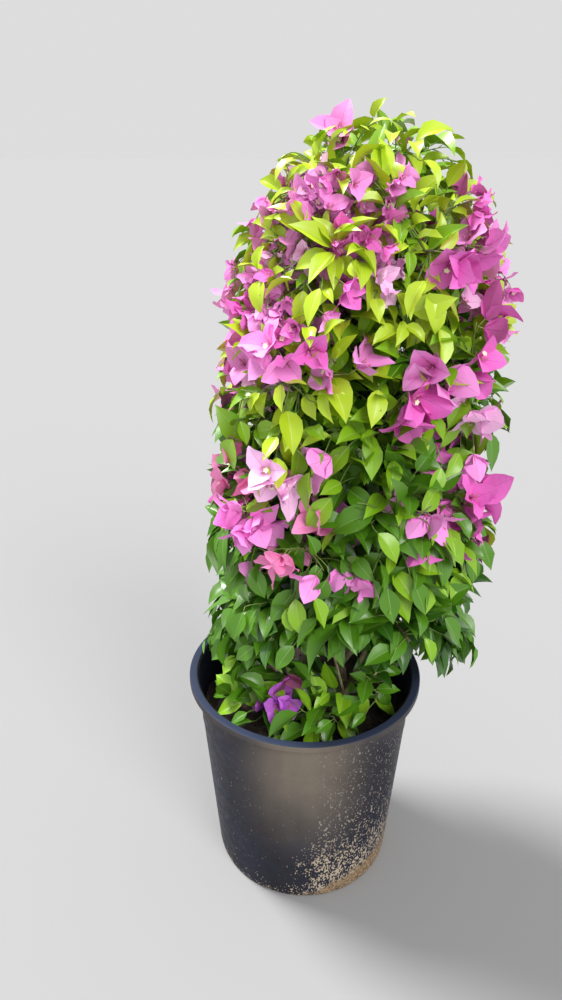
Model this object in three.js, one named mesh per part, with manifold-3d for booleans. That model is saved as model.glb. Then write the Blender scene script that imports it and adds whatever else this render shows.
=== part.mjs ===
import * as THREE from 'three';
import { mergeVertices } from 'three/addons/utils/BufferGeometryUtils.js';
import Module from 'manifold-3d';

// A bougainvillea bush in a round plastic nursery pot, at real size, in millimetres.
// +Z is up, and the origin is the centre of the pot's flat underside.
// -Y is the front, where the lowest and largest flowers are.

const wasm = await Module();
wasm.setup();

const { degToRad, lerp, smoothstep, clamp } = THREE.MathUtils;
const vec = (x, y, z) => new THREE.Vector3(x, y, z);
const UP = vec(0, 0, 1);
const GOLDEN_TURN = degToRad(137.5);

// Driving sizes

const GAP = 0.3;          // between pieces that meet
const CLEAR = 0.4;        // least room between a twig or leaf and another node
const OWN_CLEAR = 0.8;    // least room between two leaves of one mass
const MINGLE = 28;        // how far a mass may reach past the middle between two centres

const POT = {
  height: 385,
  rimRadius: 200,
  lipWidth: 13,
  rimDepth: 12,
  rimEdge: 1.5,
  bodyTopRadius: 187,
  baseRadius: 159,
  baseCorner: 6,
  wall: 3,
  floor: 5,
  sides: 48,
};

const SOIL = { level: 316, edgeDrop: 5, flatRadius: 120, sideGap: 0.33 };

// The woody stem leans left from its foot, then runs up the middle of the crown.
const TRUNK = {
  foot: vec(67, -13, SOIL.level + GAP),
  bend: vec(47, -2, 532),
  middle: vec(64, 4, 800),
  tip: vec(76, 8, 1040),
  footRadius: 10.5,
  tipRadius: 3,
  flare: 6.5,
  flareHeight: 20,
  flareLobes: 5,
  lobeDepth: 0.12,
  taperPower: 0.85,
  sides: 8,
  steps: 20,
};

// The crown is a broad column with a rounded top, centred on a line that leans with the trunk.
// Its underside is flat near the middle and hangs lower round the edge, but rises towards the
// front, where the pot's inside shows.
const CROWN = {
  bottom: 415,
  underside: 455,
  undersideRadius: 110,
  hangingRadius: 190,
  frontRise: 125,
  frontFrom: 50,
  frontFull: 190,
  underClear: 30,
  top: 1245,
  lowAxis: vec(60, -6, 450),
  highAxis: vec(80, 10, 1240),
  lowRadius: 228,
  highRadius: 198,
  shoulder: 700,
  topRoundness: 5,
};

// One ring of boughs, each with a mass of leaves, and the masses of bracts above it.
// foot and tip are heights, out is a distance from the crown's middle line, turn is in degrees,
// and arch is how far a mass's stem rises or droops at its end.
const TIERS = [
  { boughs: 5, turn: -64, foot: 395, tip: 536, out: 74, leafHeight: 560, arch: -40,
    bracts: 4, bractTurn: -115, bractHeight: 692 },
  { boughs: 4, turn: -70, foot: 600, tip: 712, out: 70, leafHeight: 735, arch: 4,
    bracts: 4, bractTurn: -82, bractHeight: 885 },
  { boughs: 4, turn: -127, foot: 775, tip: 885, out: 66, leafHeight: 905, arch: 26,
    bracts: 3, bractTurn: -118, bractHeight: 1060 },
  { boughs: 3, turn: -66, foot: 955, tip: 1040, out: 56, leafHeight: 1062, arch: 34,
    bracts: 1, bractTurn: -150, bractHeight: 1180 },
];
const LETTERS = 'abcde';

// A mass's centre is out from the crown's middle line, and its stem ends that much inside the edge.
const LEAF_PLACE = { out: 128, edge: 34 };
const BRACT_PLACE = { out: 150, outShare: 0.55, edge: 46, arch: 14, footDrop: 112 };
const CROWN_TIP = { turn: 20, out: 30, height: 1180, edge: 40, seed: 950 };

const BOUGH = { footRadius: 5.4, tipRadius: 3.8, sides: 6, steps: 5, sag: 0.2, footStep: 14 };

// Low leafy shoots and one spent flower inside the pot, by the direction they lean from the foot.
const SHOOTS = [
  { name: 'shoot_left', end: vec(-94, -80, 352), seed: 901 },
  { name: 'shoot_front', end: vec(18, -128, 372), seed: 902 },
  { name: 'shoot_right', end: vec(120, -72, 385), seed: 903 },
];
const POT_FLOWER = { name: 'bracts_low', end: vec(-38, -40, 382), seed: 904 };
const SHOOT_PLACE = {
  arch: 10,
  foot: 26,
  footStep: 12,
  reach: 168,
  overSoil: 4,
  top: 440,
  centreShare: 0.25,
};

// How each kind of mass grows: twigs along its stem from firstTwig to lastTwig, each as a share of it,
// leafStep apart along a twig; droop pulls a leaf down, and faceOut turns its face from the middle line.
const LEAF_MASS = { twigs: 9, firstTwig: 0.06, twigLength: 100, leafStep: 27, droop: 0.25, faceOut: 0.9 };
const BRACT_MASS = { twigs: 11, firstTwig: 0.36, twigLength: 62 };
const SHOOT_MASS = { twigs: 6, firstTwig: 0.25, twigLength: 52, leafStep: 26, droop: -0.2, faceOut: 0.1 };
const SPENT_MASS = { twigs: 3, firstTwig: 0.6, twigLength: 52 };

// Swings are in degrees, tried in turn until the stem has room.
const STEM = {
  radius: 3.6,
  tipRadius: 2.4,
  steps: 3,
  sag: 18,
  clear: 0.25,
  swings: [0, 6, -6, 12, -12, 18, -18, 26, -26],
};

// Angles are in degrees. Sizes are shares of the full length, tried from the largest.
const TWIG = {
  radius: 1.25,
  lastTwig: 0.94,
  spread: 62,
  spreadPlay: 14,
  longest: 1.1,
  shortest: 0.72,
  lengthPlay: [0.85, 1.15],
  lift: [0.088, 0.176],
  sizes: [1, 0.8, 0.6, 0.42],
};

// The swing is how far a leaf leans to the side of its twig.
const LEAF = {
  length: 86,
  width: 52,
  rootThickness: 0.9,
  thickness: 1.3,
  widest: 0.4,
  fold: 0.2,
  outward: 0.35,
  firstPlace: 0.28,
  lastPlace: 0.985,
  sizes: [1, 0.84, 0.7],
  swings: [1.2, -1.2, 0.2],
};

// Each flower is three papery bracts. open is how far they lean from their stalk's line, in degrees.
const FLOWER = {
  bractLength: 58,
  bractWidth: 46,
  widest: 0.5,
  fold: 0.1,
  throat: 7,
  thickness: 3,
  sunk: 1.4,
  outward: 0.5,
  open: [50, 64],
  sizes: [1.08, 1, 0.88, 0.76],
};

// Colours and finishes

const finish = (colour, roughness) => new THREE.MeshStandardMaterial({
  color: colour, roughness, metalness: 0, flatShading: true,
});
const LOOKS = {
  pot: () => finish(0x2f333a, 0.6),
  soil: () => finish(0x3a2c22, 0.95),
  bark: () => finish(0x7d6a55, 0.85),
  leaf: () => finish(0x5d9a32, 0.5),
  bract: () => finish(0xd465b8, 0.6),
  spent: () => finish(0x8a4fb5, 0.7),
};

// Random numbers that are the same on every run

function seeded(seed) {
  let state = seed;
  return () => {
    state = (state + 0x6d2b79f5) | 0;
    let mixed = Math.imul(state ^ (state >>> 15), 1 | state);
    mixed = (mixed + Math.imul(mixed ^ (mixed >>> 7), 61 | mixed)) ^ mixed;
    return ((mixed ^ (mixed >>> 14)) >>> 0) / 4294967296;
  };
}

// Solids

function solidFrom(geometry) {
  const bare = geometry.clone();
  bare.deleteAttribute('normal');
  bare.deleteAttribute('uv');
  const merged = mergeVertices(bare, 1e-4);
  return new wasm.Manifold(new wasm.Mesh({
    numProp: 3,
    vertProperties: new Float32Array(merged.attributes.position.array),
    triVerts: new Uint32Array(merged.index.array),
  }));
}

// Joins solids into one body. A sealed pocket is filled and a loose scrap is dropped.
function join(solids) {
  const joined = solids.reduce((sum, next) => sum.add(next));
  return joined.decompose().reduce((best, next) => (next.volume() > best.volume() ? next : best));
}

function geometryOf(solid) {
  const { vertProperties, triVerts } = solid.getMesh();
  const geometry = new THREE.BufferGeometry();
  geometry.setAttribute('position', new THREE.BufferAttribute(new Float32Array(vertProperties), 3));
  geometry.setIndex(new THREE.BufferAttribute(new Uint32Array(triVerts), 1));
  geometry.computeVertexNormals();
  return geometry;
}

const model = new THREE.Group();

function addNode(name, geometry, look) {
  const mesh = new THREE.Mesh(geometry, look());
  mesh.name = name;
  model.add(mesh);
}

// A round limb along a curve, closed at both ends. radiusAt takes how far along it is, from 0 to 1,
// and the angle round it.
function limbGeometry(curve, radiusAt, sides, steps) {
  const frames = curve.computeFrenetFrames(steps, false);
  const corners = [];
  const faces = [];
  for (let i = 0; i <= steps; i += 1) {
    const centre = curve.getPointAt(i / steps);
    for (let j = 0; j < sides; j += 1) {
      const angle = (j / sides) * 2 * Math.PI;
      const radius = radiusAt(i / steps, angle);
      corners.push(centre.clone()
        .addScaledVector(frames.normals[i], radius * Math.cos(angle))
        .addScaledVector(frames.binormals[i], radius * Math.sin(angle)));
    }
  }
  for (let i = 0; i < steps; i += 1) {
    for (let j = 0; j < sides; j += 1) {
      const here = i * sides + j;
      const beside = i * sides + ((j + 1) % sides);
      faces.push(here, beside, beside + sides);
      faces.push(here, beside + sides, here + sides);
    }
  }
  const last = steps * sides;
  for (let j = 1; j < sides - 1; j += 1) {
    faces.push(0, j + 1, j);
    faces.push(last, last + j, last + j + 1);
  }
  return new THREE.BufferGeometry().setFromPoints(corners).setIndex(faces);
}

// Where leaves and twigs may not go: every finished piece, with the node it belongs to.
const placed = [];

function boxOf(solid) {
  const { min, max } = solid.boundingBox();
  return new THREE.Box3(vec(...min), vec(...max));
}

function keep(owner, solid) {
  placed.push({ owner, solid, box: boxOf(solid) });
}

function isClear(solid, margin, concerns) {
  const near = boxOf(solid).expandByScalar(margin);
  return placed.every((other) => !concerns(other) || !near.intersectsBox(other.box)
    || solid.minGap(other.solid, margin) >= margin);
}

// Pot and soil

const outerRadius = (height) => lerp(POT.baseRadius, POT.bodyTopRadius, height / POT.height);
const innerRadius = (height) => outerRadius(height) - POT.wall;

function makePot() {
  const rimFoot = POT.height - POT.rimDepth;
  const lipInner = POT.rimRadius - POT.lipWidth;
  const outline = [
    [0, 0],
    [POT.baseRadius - POT.baseCorner, 0],
    [outerRadius(POT.baseCorner), POT.baseCorner],
    [outerRadius(rimFoot - POT.wall), rimFoot - POT.wall],
    [POT.rimRadius - 2 * POT.rimEdge, rimFoot],
    [POT.rimRadius, rimFoot + 2 * POT.rimEdge],
    [POT.rimRadius, POT.height - POT.rimEdge],
    [POT.rimRadius - POT.rimEdge, POT.height],
    [lipInner, POT.height],
    [innerRadius(POT.height - 2 * POT.rimEdge), POT.height - 2 * POT.rimEdge],
    [innerRadius(2 * POT.floor), 2 * POT.floor],
    [innerRadius(POT.floor) - POT.floor, POT.floor],
    [0, POT.floor],
  ].map(([radius, height]) => new THREE.Vector2(radius, height));
  const pot = new THREE.LatheGeometry(outline, POT.sides);
  pot.rotateX(Math.PI / 2);
  addNode('pot', geometryOf(solidFrom(pot)), LOOKS.pot);
}

function makeSoil() {
  const side = (height) => innerRadius(height) - SOIL.sideGap;
  const bottom = POT.floor + GAP;
  const edgeLevel = SOIL.level - SOIL.edgeDrop;
  const outline = [
    [0, bottom],
    [side(POT.floor) - POT.floor, bottom],
    [side(2 * POT.floor), 2 * POT.floor],
    [side(edgeLevel), edgeLevel],
    [SOIL.flatRadius, SOIL.level],
    [0, SOIL.level],
  ].map(([radius, height]) => new THREE.Vector2(radius, height));
  const soil = new THREE.LatheGeometry(outline, POT.sides);
  soil.rotateX(Math.PI / 2);
  addNode('soil', geometryOf(solidFrom(soil)), LOOKS.soil);
}

// Trunk

const trunkCurve = new THREE.CatmullRomCurve3([
  TRUNK.foot,
  TRUNK.foot.clone().addScaledVector(UP, TRUNK.flareHeight),
  TRUNK.bend,
  TRUNK.middle,
  TRUNK.tip,
], false, 'centripetal');

const trunkRadius = (along) => lerp(TRUNK.footRadius, TRUNK.tipRadius, along ** TRUNK.taperPower);

// How far along the trunk a height is, from 0 to 1, by halving
function trunkAt(height) {
  const halvings = 24;
  let low = 0;
  let high = 1;
  for (let i = 0; i < halvings; i += 1) {
    const middle = (low + high) / 2;
    if (trunkCurve.getPointAt(middle).z < height) low = middle;
    else high = middle;
  }
  return (low + high) / 2;
}

function trunkSolid(extra) {
  const length = trunkCurve.getLength();
  const geometry = limbGeometry(trunkCurve, (along, angle) => {
    const swell = TRUNK.flare * Math.exp(-(along * length) / TRUNK.flareHeight);
    const lobe = 1 + TRUNK.lobeDepth * (swell / TRUNK.flare) * Math.cos(TRUNK.flareLobes * angle);
    return (trunkRadius(along) + swell) * lobe + extra;
  }, TRUNK.sides, TRUNK.steps);
  const corners = geometry.attributes.position;
  for (let j = 0; j < TRUNK.sides; j += 1) corners.setZ(j, TRUNK.foot.z);
  return solidFrom(geometry);
}

function makeTrunk() {
  const trunk = trunkSolid(0);
  keep('trunk', trunk);
  addNode('trunk', geometryOf(trunk), LOOKS.bark);
}

// Crown

function crownAxis(height) {
  const share = (height - CROWN.lowAxis.z) / (CROWN.highAxis.z - CROWN.lowAxis.z);
  const point = CROWN.lowAxis.clone().lerp(CROWN.highAxis, share);
  return point.setZ(height);
}

function crownRadius(height) {
  const share = clamp((height - CROWN.bottom) / (CROWN.top - CROWN.bottom), 0, 1);
  const shoulder = clamp((height - CROWN.shoulder) / (CROWN.top - CROWN.shoulder), 0, 1);
  return lerp(CROWN.lowRadius, CROWN.highRadius, share) * Math.sqrt(1 - shoulder ** CROWN.topRoundness);
}

const outFromAxis = (point) => Math.hypot(point.x - crownAxis(point.z).x, point.y - crownAxis(point.z).y);

// The height of the crown's underside over a point
function lowestLeaf(point) {
  const hanging = smoothstep(outFromAxis(point), CROWN.undersideRadius, CROWN.hangingRadius);
  const front = smoothstep(CROWN.lowAxis.y - point.y, CROWN.frontFrom, CROWN.frontFull);
  return lerp(CROWN.underside, CROWN.bottom, hanging) + CROWN.frontRise * front;
}

// The point itself, or raised to clear the underside
const lifted = (point) => point.setZ(Math.max(point.z, lowestLeaf(point) + CROWN.underClear));

function inCrown(point) {
  return point.z > lowestLeaf(point) && point.z < CROWN.top && outFromAxis(point) < crownRadius(point.z);
}

function inPot(point) {
  const upright = point.z > SOIL.level + SHOOT_PLACE.overSoil && point.z < SHOOT_PLACE.top;
  return upright && Math.hypot(point.x, point.y) < SHOOT_PLACE.reach;
}

const heading = (degrees) => vec(Math.cos(degToRad(degrees)), Math.sin(degToRad(degrees)), 0);
const placeAt = (degrees, out, height) => crownAxis(height).addScaledVector(heading(degrees), out);

// Each mass keeps to the space that is nearer to its own centre than to any other mass's,
// give or take the width of a leaf.
const masses = [];

function ownsPoint(mass, point) {
  const own = mass.centre.distanceTo(point) - MINGLE;
  return masses.every((other) => other === mass || other.centre.distanceTo(point) > own);
}

const mayHold = (mass, point) => mass.within(point) && ownsPoint(mass, point);

// Twigs, leaves and bracts

function twigSolid(curve, radius, tipRadius, steps) {
  return solidFrom(limbGeometry(curve, (along) => lerp(radius, tipRadius, along), 3, steps));
}

// A leaf folded along its midrib, from a short root edge to a point
function leafBlade(scale, root, along, face) {
  const left = face.clone().cross(along).normalize();
  const up = along.clone().cross(left);
  const length = LEAF.length * scale;
  const halfWidth = (LEAF.width * scale) / 2;
  const rootHalf = LEAF.rootThickness / 2;
  const at = (forward, aside, above) => root.clone()
    .addScaledVector(along, forward).addScaledVector(left, aside).addScaledVector(up, above);
  const corners = [
    at(0, 0, rootHalf),
    at(0, 0, -rootHalf),
    at(length * LEAF.widest, halfWidth, LEAF.fold * halfWidth),
    at(length * LEAF.widest, -halfWidth, LEAF.fold * halfWidth),
    at(length, 0, 0),
    at(length * LEAF.widest, 0, LEAF.thickness - rootHalf * (1 - LEAF.widest)),
  ];
  const faces = [0, 3, 5, 3, 4, 5, 4, 2, 5, 2, 0, 5, 1, 4, 3, 1, 2, 4, 0, 1, 3, 0, 2, 1];
  return { solid: solidFrom(new THREE.BufferGeometry().setFromPoints(corners).setIndex(faces)), corners };
}

// Three bracts as one thin cup round the end of their stalk: each has a narrow throat beside its
// neighbour's, its two widest points and its tip.
function bractCup(scale, root, direction, spin, open) {
  const sideways = across(direction);
  const halfWidth = (FLOWER.bractWidth * scale) / 2;
  const length = FLOWER.bractLength * scale;
  const corners = [
    root.clone().addScaledVector(direction, FLOWER.thickness),
    root.clone().addScaledVector(direction, -FLOWER.sunk),
  ];
  for (let i = 0; i < 3; i += 1) {
    const turned = (share) => {
      const angle = spin + ((i + share) * 2 * Math.PI) / 3;
      return sideways.clone().applyAxisAngle(direction, angle);
    };
    const bractLine = (round) => direction.clone().multiplyScalar(Math.cos(open))
      .addScaledVector(round, Math.sin(open));
    const along = bractLine(turned(0));
    const aside = direction.clone().cross(turned(0));
    const inward = along.clone().cross(aside);
    const edge = (share) => root.clone()
      .addScaledVector(along, length * FLOWER.widest)
      .addScaledVector(aside, halfWidth * share)
      .addScaledVector(inward, -FLOWER.fold * halfWidth);
    corners.push(
      root.clone().addScaledVector(bractLine(turned(-0.5)), FLOWER.throat),
      edge(-1),
      root.clone().addScaledVector(along, length),
      edge(1),
    );
  }
  const faces = [];
  for (let i = 0; i < 3; i += 1) {
    const [throat, right, tip, left] = [2, 3, 4, 5].map((corner) => corner + 4 * i);
    const nextThroat = 2 + 4 * ((i + 1) % 3);
    faces.push(0, throat, right, 0, right, tip, 0, tip, left, 0, left, nextThroat);
    faces.push(tip, right, left, left, right, throat, left, throat, nextThroat, 1, nextThroat, throat);
  }
  return { solid: solidFrom(new THREE.BufferGeometry().setFromPoints(corners).setIndex(faces)), corners };
}

// Any direction at a right angle to the given one
function across(direction) {
  const helper = Math.abs(direction.z) < 0.9 ? UP : vec(1, 0, 0);
  return helper.clone().cross(direction).normalize();
}

// The side of a blade that faces the light: up, and away from the crown's middle line
function lightSide(point, along, mass) {
  const away = point.clone().sub(crownAxis(point.z)).setZ(0).normalize();
  const light = UP.clone().addScaledVector(away, mass.faceOut);
  return light.addScaledVector(along, -light.dot(along)).normalize();
}

// Whether a leaf or flower stays in its mass's space, clear of other nodes and of its own
// mass's other parts
function bladeFits(mass, twig, blade) {
  return blade.corners.slice(2).every((corner) => mayHold(mass, corner))
    && isClear(blade.solid, CLEAR, (other) => other.owner !== mass.name)
    && isClear(blade.solid, OWN_CLEAR, (other) => other.owner === mass.name && other.solid !== twig);
}

// Sets one leaf with its root at a point of its twig, in the largest size that has room,
// leaning to one side, then to the other, then straight on.
function fitLeaf(mass, twig, root, direction, side) {
  const away = root.clone().sub(crownAxis(root.z)).setZ(0).normalize();
  for (const scale of LEAF.sizes) {
    for (const swing of LEAF.swings) {
      const along = direction.clone()
        .addScaledVector(side, swing)
        .addScaledVector(away, LEAF.outward)
        .addScaledVector(UP, -mass.droop)
        .normalize();
      const leaf = leafBlade(scale, root, along, lightSide(root, along, mass));
      if (bladeFits(mass, twig, leaf)) return [leaf.solid];
    }
  }
  return [];
}

// Leaves sit alternately along a twig, with one at its tip.
function leafTwig(mass, twig, curve, random) {
  const leaves = [];
  const count = Math.max(1, Math.round(curve.getLength() / mass.leafStep));
  for (let i = 0; i <= count; i += 1) {
    const share = lerp(LEAF.firstPlace, 1, i / count);
    const root = curve.getPointAt(Math.min(share, LEAF.lastPlace));
    const direction = curve.getTangentAt(share);
    const turn = random() - 0.5;
    const side = across(direction).multiplyScalar(i % 2 ? 1 : -1).applyAxisAngle(direction, turn);
    fitLeaf(mass, twig, root, direction, side).forEach((leaf) => {
      leaves.push(leaf);
      keep(mass.name, leaf);
    });
  }
  return leaves;
}

// A flowering twig ends in one open flower, turned to the light, in the largest size that has room.
function flowerTwig(mass, twig, curve, random) {
  const root = curve.getPointAt(1);
  const away = root.clone().sub(crownAxis(root.z)).setZ(0).normalize();
  const direction = curve.getTangentAt(1).addScaledVector(away, FLOWER.outward).normalize();
  for (const scale of FLOWER.sizes) {
    const spin = random() * 2 * Math.PI;
    const open = degToRad(lerp(...FLOWER.open, random()));
    const flower = bractCup(scale, root, direction, spin, open);
    if (bladeFits(mass, twig, flower)) {
      keep(mass.name, flower.solid);
      return [flower.solid];
    }
  }
  return [];
}

// Lays a mass's stem along its route, swung aside as far as it must be to pass what is there.
function placeStem(mass) {
  for (const swing of STEM.swings) {
    mass.stemCurve = mass.route(swing);
    mass.stem = twigSolid(mass.stemCurve, STEM.radius, STEM.tipRadius, STEM.steps);
    if (isClear(mass.stem, STEM.clear, () => true)) {
      keep(mass.name, mass.stem);
      return;
    }
  }
  throw new Error(`no room for the stem of ${mass.name}`);
}

// One mass: its stem, twigs that leave it in a spiral, and the leaves or bracts on them.
// A twig that would carry nothing is left off.
function growMass(mass) {
  const random = seeded(mass.seed);
  const dress = mass.kind === 'leaves' ? leafTwig : flowerTwig;
  const pieces = [mass.stem, ...dress(mass, mass.stem, mass.stemCurve, random)];
  const firstTurn = random() * 2 * Math.PI;
  for (let i = 0; i < mass.twigs; i += 1) {
    const share = lerp(mass.firstTwig, TWIG.lastTwig, i / (mass.twigs - 1));
    const root = mass.stemCurve.getPointAt(share);
    const direction = mass.stemCurve.getTangentAt(share);
    const side = across(direction).applyAxisAngle(direction, firstTurn + i * GOLDEN_TURN);
    const spread = degToRad(TWIG.spread + TWIG.spreadPlay * (random() - 0.5));
    const start = direction.clone().multiplyScalar(Math.cos(spread)).addScaledVector(side, Math.sin(spread));
    const taper = lerp(TWIG.longest, TWIG.shortest, share);
    const reach = mass.twigLength * taper * lerp(...TWIG.lengthPlay, random());
    for (const size of TWIG.sizes) {
      const length = reach * size;
      const end = root.clone().addScaledVector(start, length);
      end.z += length * lerp(...TWIG.lift, random());
      const middle = root.clone().lerp(end, 0.5);
      const curve = new THREE.LineCurve3(root, end);
      const twig = twigSolid(curve, TWIG.radius, TWIG.radius, 1);
      const fits = mayHold(mass, end) && mayHold(mass, middle)
        && isClear(twig, CLEAR, (other) => other.owner !== mass.name)
        && isClear(twig, OWN_CLEAR, (other) => other.owner === mass.name && other.solid !== mass.stem);
      const dressing = fits ? dress(mass, twig, curve, random) : [];
      if (dressing.length) {
        keep(mass.name, twig);
        pieces.push(twig, ...dressing);
        break;
      }
    }
  }
  addNode(mass.name, geometryOf(join(pieces)), LOOKS[mass.look]);
}

// Where a thin stem leaves the trunk: just clear of the bark, on the side it heads for
function leaveTrunk(height, target) {
  const along = trunkAt(height);
  const centre = trunkCurve.getPointAt(along);
  const side = target.clone().sub(centre).setZ(0).normalize();
  const swell = TRUNK.flare * Math.exp(-(height - TRUNK.foot.z) / TRUNK.flareHeight);
  return centre.addScaledVector(side, trunkRadius(along) + swell + GAP + STEM.radius);
}

// Boughs, each with the stem of its mass of leaves carried on from its tip

function makeBough(name, tier, degrees, place) {
  const foot = trunkCurve.getPointAt(trunkAt(tier.foot + place * BOUGH.footStep));
  const tip = placeAt(degrees, tier.out, tier.tip);
  const elbow = foot.clone().lerp(tip, 0.5);
  elbow.z -= (tip.z - foot.z) * BOUGH.sag;
  const curve = new THREE.QuadraticBezierCurve3(foot, elbow, tip);
  const taper = (along) => lerp(BOUGH.footRadius, BOUGH.tipRadius, along);
  const whole = solidFrom(limbGeometry(curve, taper, BOUGH.sides, BOUGH.steps));
  const bough = join([whole.subtract(trunkSolid(GAP))]);
  keep(name, bough);
  addNode(name, geometryOf(bough), LOOKS.bark);
  return curve;
}

function addLeafMass(name, centre, start, direction, reach, seed) {
  masses.push({
    name, kind: 'leaves', look: 'leaf', centre, seed,
    within: inCrown,
    route: (swing) => {
      const end = reach(swing);
      const elbow = start.clone().addScaledVector(direction, start.distanceTo(end) * 0.5);
      return new THREE.QuadraticBezierCurve3(start, elbow, end);
    },
    ...LEAF_MASS,
  });
}

function addBractMass(name, centre, foot, reach, seed) {
  masses.push({
    name, kind: 'bracts', look: 'bract', centre, seed,
    within: inCrown,
    route: (swing) => {
      const end = reach(swing);
      const start = leaveTrunk(foot, end);
      const elbow = start.clone().lerp(end, 0.5).add(vec(0, 0, -STEM.sag));
      return new THREE.QuadraticBezierCurve3(start, elbow, end);
    },
    ...BRACT_MASS,
  });
}

function layOutCrown() {
  TIERS.forEach((tier, row) => {
    for (let i = 0; i < tier.boughs; i += 1) {
      const degrees = tier.turn + (i * 360) / tier.boughs;
      const label = `${row + 1}${LETTERS[i]}`;
      const bough = makeBough(`bough_${label}`, tier, degrees, i);
      const direction = bough.getTangentAt(1);
      const start = bough.getPointAt(1).addScaledVector(direction, GAP);
      const edge = crownRadius(tier.leafHeight) - LEAF_PLACE.edge;
      const far = (swing) => lifted(placeAt(degrees + swing, edge, tier.leafHeight + tier.arch));
      const centre = lifted(placeAt(degrees, LEAF_PLACE.out, tier.leafHeight));
      addLeafMass(`leaves_${label}`, centre, start, direction, far, 100 * (row + 1) + i);
    }
    for (let i = 0; i < tier.bracts; i += 1) {
      const degrees = tier.bractTurn + (i * 360) / tier.bracts;
      const radius = crownRadius(tier.bractHeight);
      const out = Math.min(BRACT_PLACE.out, radius * BRACT_PLACE.outShare);
      const centre = placeAt(degrees, out, tier.bractHeight);
      const edge = radius - BRACT_PLACE.edge;
      const far = (swing) => placeAt(degrees + swing, edge, tier.bractHeight + BRACT_PLACE.arch);
      const foot = tier.bractHeight - BRACT_PLACE.footDrop;
      addBractMass(`bracts_${row + 1}${LETTERS[i]}`, centre, foot, far, 500 + 100 * row + i);
    }
  });
  const top = placeAt(CROWN_TIP.turn, CROWN_TIP.out, CROWN_TIP.height);
  const direction = trunkCurve.getTangentAt(1);
  const start = TRUNK.tip.clone().addScaledVector(direction, GAP);
  const reach = (swing) => placeAt(CROWN_TIP.turn + swing, CROWN_TIP.out, CROWN.top - CROWN_TIP.edge);
  addLeafMass('leaves_top', top, start, direction, reach, CROWN_TIP.seed);
}

function layOutShoots() {
  SHOOTS.concat(POT_FLOWER).forEach((shoot, place) => {
    const flower = shoot === POT_FLOWER;
    const foot = SOIL.level + SHOOT_PLACE.foot + place * SHOOT_PLACE.footStep;
    masses.push({
      name: shoot.name,
      kind: flower ? 'bracts' : 'leaves',
      look: flower ? 'spent' : 'leaf',
      centre: shoot.end.clone().lerp(TRUNK.foot, SHOOT_PLACE.centreShare),
      seed: shoot.seed,
      within: inPot,
      route: (swing) => {
        const lean = shoot.end.clone().sub(TRUNK.foot).applyAxisAngle(UP, degToRad(swing));
        const end = lean.add(TRUNK.foot);
        const start = leaveTrunk(foot, end);
        const elbow = start.clone().lerp(end, 0.5).add(vec(0, 0, SHOOT_PLACE.arch));
        return new THREE.QuadraticBezierCurve3(start, elbow, end);
      },
      ...(flower ? SPENT_MASS : SHOOT_MASS),
    });
  });
}

makePot();
makeSoil();
makeTrunk();
layOutCrown();
layOutShoots();
masses.forEach(placeStem);
masses.filter((mass) => mass.kind === 'bracts').forEach(growMass);
masses.filter((mass) => mass.kind === 'leaves').forEach(growMass);

export default model;
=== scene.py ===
import math
import random
from bisect import bisect_right
from dataclasses import dataclass, field
from functools import lru_cache, partialmethod
from itertools import accumulate, product, repeat

import bpy
import numpy as np
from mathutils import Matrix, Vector, kdtree, noise


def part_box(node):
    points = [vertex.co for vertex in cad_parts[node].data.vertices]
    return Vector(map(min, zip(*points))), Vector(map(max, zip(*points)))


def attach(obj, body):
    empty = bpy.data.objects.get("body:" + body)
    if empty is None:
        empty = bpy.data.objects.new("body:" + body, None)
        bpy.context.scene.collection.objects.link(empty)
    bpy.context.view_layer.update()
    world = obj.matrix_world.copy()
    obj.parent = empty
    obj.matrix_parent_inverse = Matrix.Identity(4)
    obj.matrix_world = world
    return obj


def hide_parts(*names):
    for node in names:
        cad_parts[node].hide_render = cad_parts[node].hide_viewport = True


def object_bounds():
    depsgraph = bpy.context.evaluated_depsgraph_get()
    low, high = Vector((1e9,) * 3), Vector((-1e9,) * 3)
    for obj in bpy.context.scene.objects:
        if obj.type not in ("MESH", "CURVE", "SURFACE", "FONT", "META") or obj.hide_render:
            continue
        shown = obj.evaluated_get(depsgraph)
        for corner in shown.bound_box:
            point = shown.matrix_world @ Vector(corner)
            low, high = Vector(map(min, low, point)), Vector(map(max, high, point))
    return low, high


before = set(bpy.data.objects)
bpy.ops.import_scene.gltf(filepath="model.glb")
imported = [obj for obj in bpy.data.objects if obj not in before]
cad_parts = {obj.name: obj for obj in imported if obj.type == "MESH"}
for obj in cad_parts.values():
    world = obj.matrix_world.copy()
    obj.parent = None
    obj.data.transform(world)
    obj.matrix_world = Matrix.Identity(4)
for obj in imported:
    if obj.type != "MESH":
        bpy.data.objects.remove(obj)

# The looks of a bougainvillea bush in its nursery pot. Lengths are in metres, angles in degrees.
# -Y is the front. The limbs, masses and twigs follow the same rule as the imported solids, from the
# same sizes, and are carried on to finer twigs, leaves and flowers. A name that ends in PLAY says how
# far something varies by chance, and one that ends in EDGE from where to where something changes.

CAD_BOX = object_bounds()


def at(x, y, z):
    return Vector((x, y, z))


UP = at(0, 0, 1)
# The angles from one twig and from one leaf to the next, the gap left between the soil and the pot,
# and how upright a direction is that is too near to UP to be crossed with it
GOLDEN_TURN = math.radians(137.5)
TWO_FIFTHS = math.radians(144)
GAP = 0.0003
STEEP = 0.9

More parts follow.
